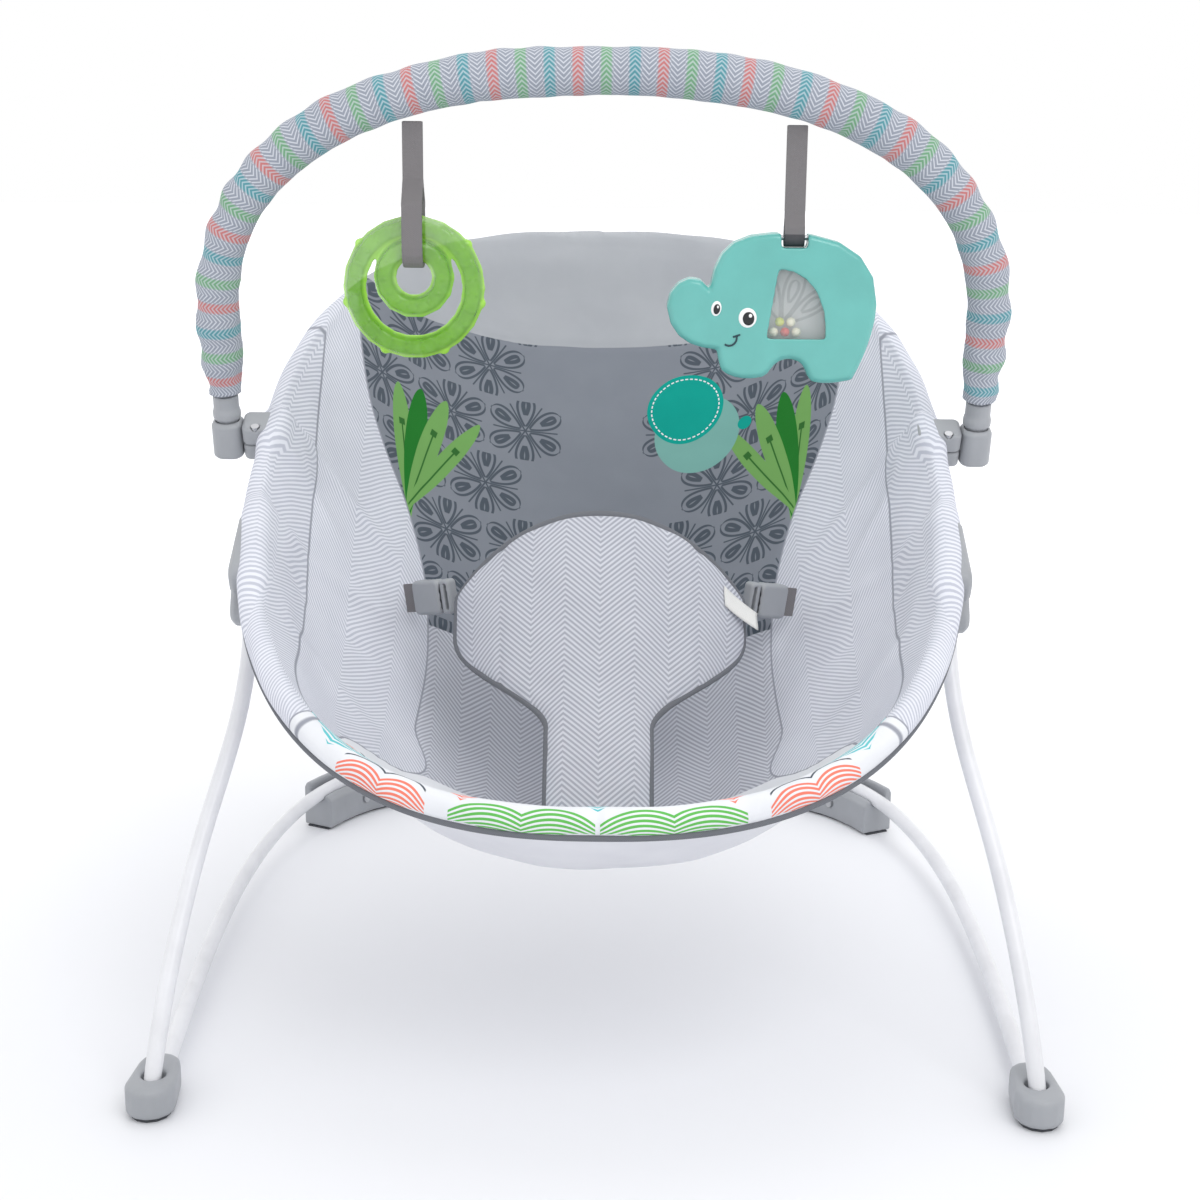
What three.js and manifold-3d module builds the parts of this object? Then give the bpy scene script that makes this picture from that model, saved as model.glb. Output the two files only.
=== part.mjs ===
// A baby bouncer seat: a fabric bucket on an oval tube frame, carried by two springy uprights on a
// U-shaped floor tube, with a removable toy bar that carries a teether ring and an elephant rattle.
// Millimetres, +Z up, +Y towards the back of the seat, +X to the right as seen from the front.
// The origin is on the floor, under the middle of the object.
import * as THREE from "three";
import { mergeVertices } from "three/addons/utils/BufferGeometryUtils.js";
import Module from "manifold-3d";

// ---- driving dimensions ----------------------------------------------------------------------

const GAP = 0.3; // air left between touching pieces
const TUBE_WALL = 1.2;

const MIDDLE_SHIFT = 4.4; // brings the middle of the whole object over the origin

const BASE_TUBE_R = 5;
const BASE_REAR_Y = 254; // centre of the rear cross bar
const PAD_THICKNESS = 1.2; // rubber under each foot
const FOOT_FLOOR = PAD_THICKNESS + GAP; // underside of each foot's plastic

const FRONT_FOOT = { x: 236, y: -240.5, height: 17, frontR: 10.5, rearR: 8.5, halfLength: 12, bevel: 3 };
const UPRIGHT_R = 4.75;
const UPRIGHT_FOOT = [236.7, -250.5, 7.5]; // where the upright stands in its foot, and the bounce axis
const UPRIGHT_HOLE_R = 6.6;

const FRAME_R = 6; // seat frame tube
const FRAME_TILT = THREE.MathUtils.degToRad(27);
const FRAME_CENTRE = { y: -15.5, z: 299.5 };
const FRAME_HALF_WIDTH = 207;
const FRAME_HALF_LENGTH = 281;
// Superellipse exponents of the oval: rounder in front, squarer at the top of the back.
const FRAME_POWER = { front: 2.5, back: 2.75 };
const HUB_ALONG = -72; // where the side hub sits along the frame, from the oval's middle
const CLAMP_ALONG = 42; // where the toy bar clamp sits along the frame

const SLING_THICKNESS = 5;
const SLING_EDGE_GAP = 1.2; // between the fabric's edge and the frame tube
const SLING_WALL_POWER = 2.6;
// Depth of the bucket below the frame's plane, along its middle from the front edge to the top.
const SLING_DEPTH = [[-274, 0], [-262, 26], [-240, 66], [-205, 116], [-160, 146], [-100, 158], [-20, 146],
  [70, 112], [160, 72], [235, 32], [274, 0]];

const BAR_R = 6;
const BAR_SLEEVE_R = 14;
const BAR_X = 233.5; // half the distance between the toy bar's legs
const BAR_LEAN = THREE.MathUtils.degToRad(75); // the bar's plane above the horizontal, leaning forward
const BAR_RISE = 231; // from the pivot to the bar's top, along its plane
const BAR_ARCH = 158; // height of the arched part
const BAR_POWER = 2.35;

const STRAP_X = 111; // toy straps, either side of the middle
const WEBBING = 2; // thickness of the toy webbing
const WEBBING_WIDTH = 12;

// ---- materials -------------------------------------------------------------------------------

const finish = (color, roughness, metalness = 0, opacity = 1) =>
  new THREE.MeshStandardMaterial({ color, roughness, metalness, opacity, transparent: opacity < 1 });
const WHITE_PAINT = finish(0xf1f1f2, 0.35);
const GREY_PLASTIC = finish(0x9c9fa3, 0.45);
const RUBBER = finish(0x4b4d52, 0.85);
const STEEL = finish(0xb9bbbe, 0.35, 0.9);
const SEAT_FABRIC = finish(0xd6d8de, 0.95);
const SLEEVE_FABRIC = finish(0xd9dce2, 0.95);
const GREY_WEBBING = finish(0x8b8889, 0.9);
const GREEN_GEL = finish(0x7ed63a, 0.15, 0, 0.7);
const TEAL_PLASTIC = finish(0x7cc7bf, 0.25);
const CLEAR_PLASTIC = finish(0xffffff, 0.05, 0, 0.3);
const EAR_GREY = finish(0xb9bcbf, 0.5);

// ---- solids ----------------------------------------------------------------------------------

const wasm = await Module();
wasm.setup();

const V = (x, y, z) => new THREE.Vector3(x, y, z);

// One vertex where several meet, so that the surface is closed.
function welded(geometry) {
  const bare = geometry.index ? geometry.toNonIndexed() : geometry.clone();
  bare.deleteAttribute("normal");
  bare.deleteAttribute("uv");
  return mergeVertices(bare, 1e-3);
}

function toSolid(geometry) {
  const merged = geometry.userData.closed ? geometry : welded(geometry);
  return new wasm.Manifold(new wasm.Mesh({
    numProp: 3,
    vertProperties: merged.attributes.position.array,
    triVerts: new Uint32Array(merged.index.array),
  }));
}

function toGeometry(solid) {
  const mesh = solid.getMesh();
  const geometry = new THREE.BufferGeometry();
  geometry.setAttribute("position", new THREE.BufferAttribute(new Float32Array(mesh.vertProperties), 3));
  geometry.setIndex(new THREE.BufferAttribute(mesh.triVerts, 1));
  geometry.computeVertexNormals();
  geometry.userData.closed = true;
  return geometry;
}

const join = (...geometries) => toGeometry(geometries.map(toSolid).reduce((a, b) => a.add(b)));
const cut = (geometry, ...tools) =>
  toGeometry(tools.map(toSolid).reduce((a, b) => a.subtract(b), toSolid(geometry)));
const mirrored = (geometry) => toGeometry(toSolid(geometry).mirror([1, 0, 0]));
const keep = (geometry, tool) => toGeometry(toSolid(geometry).intersect(toSolid(tool)));

const circle = (radius, sides) => new THREE.Shape(Array.from({ length: sides }, (_, i) => {
  const a = (2 * Math.PI * i) / sides;
  return new THREE.Vector2(radius * Math.cos(a), radius * Math.sin(a));
}));

const sweep = (section, curve, steps) =>
  new THREE.ExtrudeGeometry(section, { steps, extrudePath: curve, bevelEnabled: false });

const rod = (curve, radius, steps, sides = 8) => sweep(circle(radius, sides), curve, steps);

// Air round a tube: the tube's own facets, grown, so that the clearance is even all round.
const airRound = (curve, radius, steps) => rod(curve, radius + 1.5 * GAP, steps);

const pipe = (curve, radius, steps, wall = TUBE_WALL, sides = 8) =>
  cut(rod(curve, radius, steps, sides), rod(longer(curve), radius - wall, steps, sides));

// The same curve with both ends carried on a little, for cutting right through.
function longer(curve, by = 2) {
  const first = curve.getPointAt(0).addScaledVector(curve.getTangentAt(0), -by);
  const last = curve.getPointAt(1).addScaledVector(curve.getTangentAt(1), by);
  const inner = Array.from({ length: 33 }, (_, i) => curve.getPointAt(i / 32));
  return new THREE.CatmullRomCurve3([first, ...inner, last]);
}

// A cylinder between two points.
function pin(from, to, radius, sides = 12) {
  const axis = to.clone().sub(from);
  return new THREE.CylinderGeometry(radius, radius, axis.length(), sides)
    .applyQuaternion(new THREE.Quaternion().setFromUnitVectors(V(0, 1, 0), axis.clone().normalize()))
    .translate(...from.clone().add(to).multiplyScalar(0.5).toArray());
}

// A box given by its lowest and highest corners.
const block = (low, high) => new THREE.BoxGeometry(high[0] - low[0], high[1] - low[1], high[2] - low[2])
  .translate((low[0] + high[0]) / 2, (low[1] + high[1]) / 2, (low[2] + high[2]) / 2);

// A flat outline, thickened upwards from z = 0 with its edges softened.
const slab = (shape, height, bevel, curveSegments = 3) => new THREE.ExtrudeGeometry(shape, {
  depth: height - 2 * bevel, bevelEnabled: bevel > 0, bevelThickness: bevel, bevelSize: bevel,
  bevelOffset: -bevel, bevelSegments: bevel > 2.9 ? 2 : 1, curveSegments,
}).translate(0, 0, bevel);

function roundedRect(width, height, radius) {
  const [x, y] = [width / 2, height / 2];
  const shape = new THREE.Shape();
  shape.absarc(x - radius, y - radius, radius, 0, Math.PI / 2);
  shape.absarc(radius - x, y - radius, radius, Math.PI / 2, Math.PI);
  shape.absarc(radius - x, radius - y, radius, Math.PI, 1.5 * Math.PI);
  shape.absarc(x - radius, radius - y, radius, 1.5 * Math.PI, 2 * Math.PI);
  return shape;
}

function named(name, geometry, material) {
  const mesh = new THREE.Mesh(geometry, material);
  mesh.name = name;
  return mesh;
}

const smoothstep = THREE.MathUtils.smoothstep;

// ---- the frame's plane -----------------------------------------------------------------------

// A point of the tilted oval's plane: across, along (up the slope) and depth below it.
function onFrame(across, along, depth = 0) {
  const [c, s] = [Math.cos(FRAME_TILT), Math.sin(FRAME_TILT)];
  return V(across, FRAME_CENTRE.y + along * c + depth * s, FRAME_CENTRE.z + along * s - depth * c);
}

const powerAt = (along) => (along < 0 ? FRAME_POWER.front : FRAME_POWER.back);

function halfWidthAt(along, inset = 0) {
  const share = Math.abs(along) / (FRAME_HALF_LENGTH - inset);
  return (FRAME_HALF_WIDTH - inset) * Math.max(0, 1 - share ** powerAt(along)) ** (1 / powerAt(along));
}

// The oval by angle, 0 at the right and a quarter turn at the top of the back.
function ovalPoint(angle, inset = 0) {
  const [a, b] = [FRAME_HALF_WIDTH - inset, FRAME_HALF_LENGTH - inset];
  const [c, s] = [Math.cos(angle), Math.sin(angle)];
  const power = powerAt(s);
  const reach = ((Math.abs(c) / a) ** power + (Math.abs(s) / b) ** power) ** (-1 / power);
  return [reach * c, reach * s];
}

const hubAngle = Math.atan2(HUB_ALONG, halfWidthAt(HUB_ALONG));

function frameCurve(fromAngle, toAngle, count) {
  return new THREE.CatmullRomCurve3(Array.from({ length: count + 1 }, (_, i) =>
    onFrame(...ovalPoint(fromAngle + ((toAngle - fromAngle) * i) / count))));
}

const BASE_STEPS = 40;
const UPRIGHT_STEPS = 8;
const UPPER_STEPS = 28;
const LOWER_STEPS = 20;
const JOINT_GAP_ANGLE = 0.003; // half the gap between the two frame tubes inside a hub
const upperFrameCurve = frameCurve(hubAngle + JOINT_GAP_ANGLE, Math.PI - hubAngle - JOINT_GAP_ANGLE, 36);
const lowerFrameCurve = frameCurve(hubAngle - JOINT_GAP_ANGLE, -Math.PI - hubAngle + JOINT_GAP_ANGLE, 28);

// ---- base ------------------------------------------------------------------------------------

const baseHalf = [[235, -222, 9.5], [238.5, -140, 11], [240, -45, 14.5], [236, 45, 19], [224, 125, 23],
  [203, 188, 26.5], [170, 231, 28], [122, 250, 28.5]];
const baseCurve = new THREE.CatmullRomCurve3([
  ...baseHalf.map(([x, y, z]) => V(x, y, z)),
  V(0, BASE_REAR_Y, 28.5),
  ...baseHalf.toReversed().map(([x, y, z]) => V(-x, y, z)),
]);

const uprightCurve = new THREE.CatmullRomCurve3([
  V(...UPRIGHT_FOOT), V(234, -232, 42), V(223.5, -182, 111), V(202, -122, 196), V(202, -92, 240)]);

function footOutline(grow) {
  const { frontR, rearR, halfLength, bevel } = FRONT_FOOT;
  const shape = new THREE.Shape();
  shape.absarc(0, halfLength, rearR + bevel + grow, 0, Math.PI);
  shape.absarc(0, -halfLength, frontR + bevel + grow, Math.PI, 2 * Math.PI);
  return shape;
}

function frontFoot() {
  const hole = pin(V(...UPRIGHT_FOOT).setZ(4.2), uprightCurve.getPointAt(0.12), UPRIGHT_HOLE_R, 14);
  const body = slab(footOutline(0), FRONT_FOOT.height, FRONT_FOOT.bevel)
    .translate(FRONT_FOOT.x, FRONT_FOOT.y, FOOT_FLOOR);
  return cut(body, hole, airRound(baseCurve, BASE_TUBE_R, BASE_STEPS), frontBore());
}

// The bore of the floor tube's front end, carried on a little past the tube.
const frontBore = () => pin(V(235.05, -224, 9.45), V(234.9, -219, 9.5), BASE_TUBE_R + 1.5 * GAP, 8);

const frontFootPad = () => slab(footOutline(-3), PAD_THICKNESS, 0).translate(FRONT_FOOT.x, FRONT_FOOT.y, 0);

// The stretch of floor tube that a rear foot cradles, laid flat at one height.
function rearFootCurve(height) {
  const [from, to, count] = [0.315, 0.41, 7];
  return new THREE.CatmullRomCurve3(Array.from({ length: count }, (_, i) =>
    baseCurve.getPointAt(from + ((to - from) * i) / (count - 1)).setZ(height)));
}

// Sections are drawn as [height, outward] and turned to suit the sweep, whose first axis points down.
const rearFootSection = (points) => new THREE.Shape(points.map(([up, out]) => new THREE.Vector2(-up, -out)));

function rearFoot() {
  const section = rearFootSection([[FOOT_FLOOR, -12], [22, -12], [26, -8], [26, 6.5], [34, 6.5], [34, 9.5],
    [30, 12], [FOOT_FLOOR, 12]]);
  const foot = sweep(section, rearFootCurve(0), 7);
  return cut(foot, airRound(baseCurve, BASE_TUBE_R, BASE_STEPS), rearScrew(GAP));
}

function rearFootPad() {
  const section = rearFootSection([[0, -9], [PAD_THICKNESS, -9], [PAD_THICKNESS, 9], [0, 9]]);
  return sweep(section, rearFootCurve(0), 7);
}

// A pan-head screw in the rear foot's inner wall, below the tube.
function rearScrew(grow = 0) {
  const middle = rearFootCurve(13).getPointAt(0.35);
  const inward = V(-1, -0.62, 0).normalize();
  const face = middle.clone().addScaledVector(inward, 11);
  const outside = middle.clone().addScaledVector(inward, 13.4 + grow);
  const depth = middle.clone().addScaledVector(inward, 1 - grow);
  const head = pin(face.addScaledVector(inward, -grow), outside, 3.4 + grow);
  return join(head, pin(depth, outside, 1.8 + grow, 8));
}

// ---- side hubs -------------------------------------------------------------------------------

const hubPoint = onFrame(halfWidthAt(HUB_ALONG), HUB_ALONG);

// The hub's own axes: out from the seat, up the frame's slope, and square to the frame's plane.
function hubPlace(geometry) {
  return geometry.rotateX(FRAME_TILT).translate(...hubPoint.toArray());
}

const HUB_HALF_WIDTH = 9.4;

function hubBlock() {
  const sleeve = slab(roundedRect(58, 22, 8), 2 * HUB_HALF_WIDTH, 2.5)
    .rotateX(Math.PI / 2).rotateZ(Math.PI / 2).translate(-HUB_HALF_WIDTH, 2, -2.2);
  const socket = slab(roundedRect(44, 20, 8), 2 * HUB_HALF_WIDTH, 2.5)
    .rotateX(Math.PI / 2).rotateZ(Math.PI / 2).rotateX(Math.PI / 5.4).translate(-HUB_HALF_WIDTH, -15, -14);
  return hubPlace(join(sleeve, socket));
}

function hubShell(outer) {
  const [low, high] = outer ? [hubPoint.x + GAP / 2, 400] : [0, hubPoint.x - GAP / 2];
  const half = keep(hubBlock(), block([low, -400, 0], [high, 400, 500]));
  const upper = airRound(upperFrameCurve, FRAME_R, UPPER_STEPS);
  const lower = airRound(lowerFrameCurve, FRAME_R, LOWER_STEPS);
  const upright = airRound(uprightCurve, UPRIGHT_R, UPRIGHT_STEPS);
  return cut(half, upper, lower, upright, tubeEnds(), hubScrew(0, GAP), hubScrew(1, GAP));
}

// Air past the ends of the three tubes that meet in the hub.
function tubeEnds() {
  const past = (curve, by) => curve.getPointAt(1).addScaledVector(curve.getTangentAt(1), by);
  const meeting = upperFrameCurve.getPointAt(0);
  const along = upperFrameCurve.getTangentAt(0);
  const before = meeting.clone().addScaledVector(along, 1.5);
  const after = meeting.clone().addScaledVector(along, -3);
  return join(
    pin(before, after, FRAME_R + 3 * GAP, 14),
    pin(past(uprightCurve, -1.5), past(uprightCurve, 1.5), UPRIGHT_R + 3 * GAP, 14));
}

// Two self-tapping screws hold the halves together, driven from the inner side.
function hubScrew(index, grow = 0) {
  const [along, up] = [[-15.5, -13.8], [24, -9.3]][index];
  const [head, seat, tip] = [-10.1 - grow, -7.7 + grow, 5.5 + grow];
  const at = (out) => V(out, along, up).applyAxisAngle(V(1, 0, 0), FRAME_TILT).add(hubPoint);
  return join(pin(at(head), at(seat), 3 + grow, 10), pin(at(head), at(tip), 1.3 + grow, 6));
}

// ---- toy bar clamps and cups -----------------------------------------------------------------

const clampPoint = onFrame(halfWidthAt(CLAMP_ALONG), CLAMP_ALONG);
const pivot = V(BAR_X, clampPoint.y, clampPoint.z); // the cup's turning axis runs through here, along X
const STUB_R = 4.4;
const CLAMP_OUTER_X = 223.5;
const CLAMP_INNER_X = clampPoint.x - FRAME_R - 4;

function clampPlace(geometry) {
  return geometry.rotateX(FRAME_TILT).translate(0, clampPoint.y, clampPoint.z);
}

function clampBody(lowZ, highZ) {
  const body = slab(roundedRect(CLAMP_OUTER_X - CLAMP_INNER_X, 20, 4), highZ - lowZ, 1.2, 2)
    .translate((CLAMP_OUTER_X + CLAMP_INNER_X) / 2, 0, lowZ);
  return cut(clampPlace(body), airRound(upperFrameCurve, FRAME_R, UPPER_STEPS),
    pin(V(213.5, pivot.y, pivot.z), V(236, pivot.y, pivot.z), STUB_R + GAP, 12), clampScrew(GAP));
}

function clampScrew(grow = 0) {
  const at = (up) => V(CLAMP_OUTER_X - 8.5, -7, up).applyAxisAngle(V(1, 0, 0), FRAME_TILT)
    .add(V(0, clampPoint.y, clampPoint.z));
  const head = pin(at(10.5 - grow), at(13.5 + grow), 2.6 + grow, 10);
  const shank = pin(at(-8 - grow), at(13.5 + grow), 1.2 + grow, 6);
  return join(head, shank);
}

// The toy bar's own line: two straight legs and a superellipse arch, leaning forward from the pivots.
function onBar(across, rise) {
  return V(across, pivot.y - rise * Math.cos(BAR_LEAN), pivot.z + rise * Math.sin(BAR_LEAN));
}

const BAR_STEPS = 28;

function barCurve(legStart, count = 20) {
  const springing = BAR_RISE - BAR_ARCH;
  const points = [];
  for (let rise = legStart; rise < springing - 12; rise += 18) points.push(onBar(BAR_X, rise));
  for (let i = 0; i <= count / 2; i++) {
    const angle = (Math.PI / 2) * (i / (count / 2));
    const x = BAR_X * Math.cos(angle) ** (2 / BAR_POWER);
    points.push(onBar(x, springing + BAR_ARCH * Math.sin(angle) ** (2 / BAR_POWER)));
  }
  return new THREE.CatmullRomCurve3([...points, ...points.slice(0, -1).reverse()
    .map((p) => V(-p.x, p.y, p.z))]);
}

const CUP = { width: 19, depth: 21, low: -12, high: 12, floor: -8, mouthR: 7.4 };

// The cup turns on a stub in the clamp, and the bar's end plug drops into its mouth.
function barCup() {
  const body = slab(roundedRect(CUP.width, CUP.depth, 7), CUP.high - CUP.low, 2).translate(0, 0, CUP.low);
  const mouth = new THREE.CylinderGeometry(CUP.mouthR, CUP.mouthR, 40, 14).rotateX(Math.PI / 2)
    .translate(0, 0, CUP.floor + 20);
  const stub = pin(V(-19.6, 0, 0), V(-8.6, 0, 0), STUB_R, 12);
  return join(cut(body, mouth), stub).rotateX(Math.PI / 2 - BAR_LEAN).translate(...pivot.toArray());
}

// The plug closes the tube's end: a round plug in the cup, a shoulder over its mouth and a neck.
function barEndPlug() {
  const outline = [[0, -7.4], [6.4, -7.4], [7, -6], [7, 12.4], [8.6, 13.5], [8.9, 17], [8, 20.5], [8, 29],
    [0, 29]];
  const profile = outline.map(([r, h]) => new THREE.Vector2(r, h));
  const plug = new THREE.LatheGeometry(profile, 16).rotateX(Math.PI / 2);
  return cut(plug, pin(V(0, 0, 23), V(0, 0, 34), BAR_R + 1.5 * GAP, 8))
    .rotateX(Math.PI / 2 - BAR_LEAN).translate(...pivot.toArray());
}

// ---- fabric ----------------------------------------------------------------------------------

const slingMiddle = new THREE.SplineCurve(SLING_DEPTH.map(([w, d]) => new THREE.Vector2(w, d)));

function slingMiddleDepth(along) {
  const samples = 80;
  const points = slingMiddle.getPoints(samples);
  const i = points.findIndex((p) => p.x >= along);
  if (i <= 0) return 0;
  const share = (along - points[i - 1].x) / (points[i].x - points[i - 1].x);
  return THREE.MathUtils.lerp(points[i - 1].y, points[i].y, share);
}

const slingInset = FRAME_R + SLING_EDGE_GAP;

function slingDepth(across, along) {
  const half = halfWidthAt(along, slingInset);
  if (half < 1) return 0;
  return slingMiddleDepth(along) * Math.max(0, 1 - Math.abs(across / half) ** SLING_WALL_POWER);
}

// A lens-shaped lathe laid over the oval and pressed down into the bucket's shape.
function seatSling() {
  const rings = [0, 0.2, 0.4, 0.58, 0.72, 0.83, 0.91, 0.97, 1];
  const profile = [...rings.map((r) => new THREE.Vector2(r, 1)),
    ...rings.toReversed().slice(0).map((r) => new THREE.Vector2(r, -1))];
  const lens = new THREE.LatheGeometry(profile, 32);
  const position = lens.getAttribute("position");
  for (let i = 0; i < position.count; i++) {
    const [x, side, z] = [position.getX(i), position.getY(i), position.getZ(i)];
    const [across, along] = ovalPoint(Math.atan2(z, x), slingInset).map((c) => c * Math.hypot(x, z));
    const depth = slingDepth(across, along) + (side < 0 ? SLING_THICKNESS : 0);
    position.setXYZ(i, ...onFrame(across, along, depth).toArray());
  }
  const half = cut(lens, ...slingNotches(), block([-400, -400, 0], [0, 400, 600]));
  return join(half, mirrored(half));
}

// The sling is sewn from four panels. Half the middle ones' width against the place up the slope,
// and where the printed front panel ends.
const MIDDLE_PANEL = [[-300, 190], [-225, 168], [-205, 153], [-180, 146], [-155, 137], [-143, 116],
  [-90, 113], [-20, 110], [31, 116], [72, 129], [105, 145], [130, 155], [165, 163], [230, 170], [300, 172]];
const FRONT_SEAM = -135;

// A column straight down from the oval's plane, over the middle panels between two places up the slope.
function middleColumn(from, to, grow = 0) {
  const points = MIDDLE_PANEL.map(([along, half]) => new THREE.Vector2(half + grow, along));
  const seam = new THREE.SplineCurve(points);
  const right = seam.getPoints(22).filter((p) => p.y > from && p.y < to);
  const halfAt = (along) => seam.getPoints(200).find((p) => p.y >= along)?.x ?? right.at(-1).x;
  const side = [[halfAt(from), from], ...right.map((p) => [p.x, p.y]), [halfAt(to), to]];
  const outline = [...side, ...side.toReversed().map(([x, y]) => [-x, y])];
  const column = new THREE.ExtrudeGeometry(new THREE.Shape(outline.map(([x, y]) => new THREE.Vector2(x, y))),
    { depth: 260, bevelEnabled: false });
  return column.translate(0, 0, -220).rotateX(FRAME_TILT).translate(0, FRAME_CENTRE.y, FRAME_CENTRE.z);
}

function slingPanels() {
  const sling = seatSling();
  const sides = cut(sling, middleColumn(-299, 299, GAP));
  return {
    centre_panel: keep(sling, middleColumn(FRONT_SEAM, 298)),
    front_panel: keep(sling, middleColumn(-298, FRONT_SEAM - GAP)),
    left_side_panel: cut(sides, block([0, -400, 0], [400, 400, 600])),
    right_side_panel: cut(sides, block([-400, -400, 0], [0, 400, 600])),
  };
}

// Cut-outs in the fabric's edge where the hubs and the toy bar's clamps grip the frame.
const slingNotches = () => [
  hubPlace(block([-12.2, -39, -34], [12, 34, 12])),
  clampPlace(block([CLAMP_INNER_X - 3, -14, -26], [CLAMP_OUTER_X, 14, 16])),
];

const RESTRAINT = { thickness: 6, strip: 30, wing: 97, length: 205, endLength: 160, curlR: 120 };
const restraintLine = new THREE.CatmullRomCurve3([V(0, -150, 127), V(0, -126, 160), V(0, -100, 191),
  V(0, -68, 240), V(0, -40, 284)]);

// A padded bib: a strip rising from the crotch that widens into two wings curling round the waist.
function restraintPad() {
  const { thickness, strip, wing, length, endLength, curlR } = RESTRAINT;
  const grid = new THREE.BoxGeometry(1, 1, 1, 8, 12, 1);
  const position = grid.getAttribute("position");
  for (let i = 0; i < position.count; i++) {
    const [u, v, layer] = [2 * position.getX(i), position.getY(i) + 0.5, position.getZ(i)];
    const along = v * THREE.MathUtils.lerp(length, endLength, u * u);
    const across = u * THREE.MathUtils.lerp(strip, wing, smoothstep(along, 62, 132));
    const share = Math.min(1, along / length);
    const tangent = restraintLine.getTangentAt(share);
    const out = V(0, -tangent.z, tangent.y);
    const bend = across / curlR;
    const place = restraintLine.getPointAt(share).add(V(curlR * Math.sin(bend), 0, 0))
      .addScaledVector(out, curlR * (Math.cos(bend) - 1))
      .addScaledVector(V(Math.sin(bend), 0, 0).addScaledVector(out, Math.cos(bend)), layer * thickness);
    position.setXYZ(i, ...place.toArray());
  }
  return grid;
}

// ---- waist strap and buckle, along +X of a frame that starts behind the bib's wing --------------

const BUCKLE = { width: 22, thickness: 9, start: 20, clipEnd: 29, end: 54 };

function buckleReceptacle() {
  const { width, thickness, clipEnd, end } = BUCKLE;
  const body = slab(roundedRect(end - clipEnd - GAP, width, 4), thickness, 1.6, 3)
    .translate((end + clipEnd + GAP) / 2, 0, -thickness / 2);
  const mouth = block([clipEnd - 5, -width / 2 + 3, -2.6], [end - 7, width / 2 - 3, 2.6]);
  const thumbSlots = block([clipEnd + 7, -width, -1.9], [end - 9, width, 1.9]);
  return cut(body, mouth, thumbSlots);
}

function buckleClip() {
  const { width, thickness, start, clipEnd } = BUCKLE;
  const body = slab(roundedRect(clipEnd - start, width, 2.5), thickness - 1, 1.4, 3)
    .translate((start + clipEnd) / 2, 0, -(thickness - 1) / 2);
  const arm = (y, length) => block([clipEnd - 2, y - 1.6, -1.6], [clipEnd + length, y + 1.6, 1.6]);
  const slot = block([start + 2.5, -8.4, -9], [start + 5, 8.4, 9]);
  return cut(join(body, arm(-6, 15), arm(0, 13), arm(6, 15)), slot);
}

const waistStrap = () => block([BUCKLE.end + GAP, -9, -1], [BUCKLE.end + 10, 9, 1]);

// ---- toys ------------------------------------------------------------------------------------

// Where a toy strap leaves the bar's sleeve: straight below the bar's middle line.
function strapTop() {
  const springing = BAR_RISE - BAR_ARCH;
  const rise = springing + BAR_ARCH * (1 - (STRAP_X / BAR_X) ** BAR_POWER) ** (1 / BAR_POWER);
  return onBar(STRAP_X, rise).add(V(0, 0, -BAR_SLEEVE_R - 3));
}

// A closed loop of webbing seen from the side, as a ring of the given inner half gap and height.
function webbingLoop(length, loopTop, halfGap) {
  const outer = halfGap + WEBBING;
  const profile = new THREE.Shape();
  profile.moveTo(-WEBBING / 2, 0);
  profile.lineTo(-WEBBING / 2, loopTop + 4);
  profile.lineTo(-outer, loopTop - outer + 2);
  profile.lineTo(-outer, outer - length);
  profile.absarc(0, outer - length, outer, Math.PI, 2 * Math.PI);
  profile.lineTo(outer, loopTop - outer + 2);
  profile.lineTo(WEBBING / 2, loopTop + 4);
  profile.lineTo(WEBBING / 2, 0);
  const hole = new THREE.Path();
  hole.moveTo(0, loopTop);
  hole.lineTo(-halfGap, loopTop - halfGap);
  hole.absarc(0, outer - length, halfGap, Math.PI, 2 * Math.PI);
  hole.lineTo(halfGap, loopTop - halfGap);
  profile.holes.push(hole);
  return new THREE.ExtrudeGeometry(profile, { depth: WEBBING_WIDTH, bevelEnabled: false, curveSegments: 4 })
    .translate(0, 0, -WEBBING_WIDTH / 2).rotateY(Math.PI / 2).rotateX(Math.PI / 2);
}

const TEETHER = { ringR: 35, ringTube: 7, innerR: 17.2, innerTube: 7, innerLift: 6, drop: 95, nubs: 7 };
const TEETHER_STRAP = 83.8; // from the sleeve to the bottom of the strap's loop
const RATTLE_STRAP = 64; // from the sleeve to the rattle's cross pin

// Two rings, one inside the other and joined at the top, with little nubs round the outside.
function teether() {
  const { ringR, ringTube, innerR, innerTube, innerLift, nubs } = TEETHER;
  const outer = new THREE.TorusGeometry(ringR, ringTube, 6, 22);
  const inner = new THREE.TorusGeometry(innerR, innerTube, 6, 14).translate(0, innerLift, 0);
  const dots = Array.from({ length: nubs }, (_, i) => {
    const a = (2 * Math.PI * (i + 0.5)) / nubs - Math.PI / 2;
    return new THREE.IcosahedronGeometry(3.4, 1).translate(...[Math.cos(a), Math.sin(a)]
      .map((c) => c * (ringR + ringTube - 2)), 0);
  });
  return join(outer, inner, ...dots).rotateX(Math.PI / 2);
}

const RATTLE = { thickness: 19, wall: 2, pinHeight: 40 };

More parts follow.
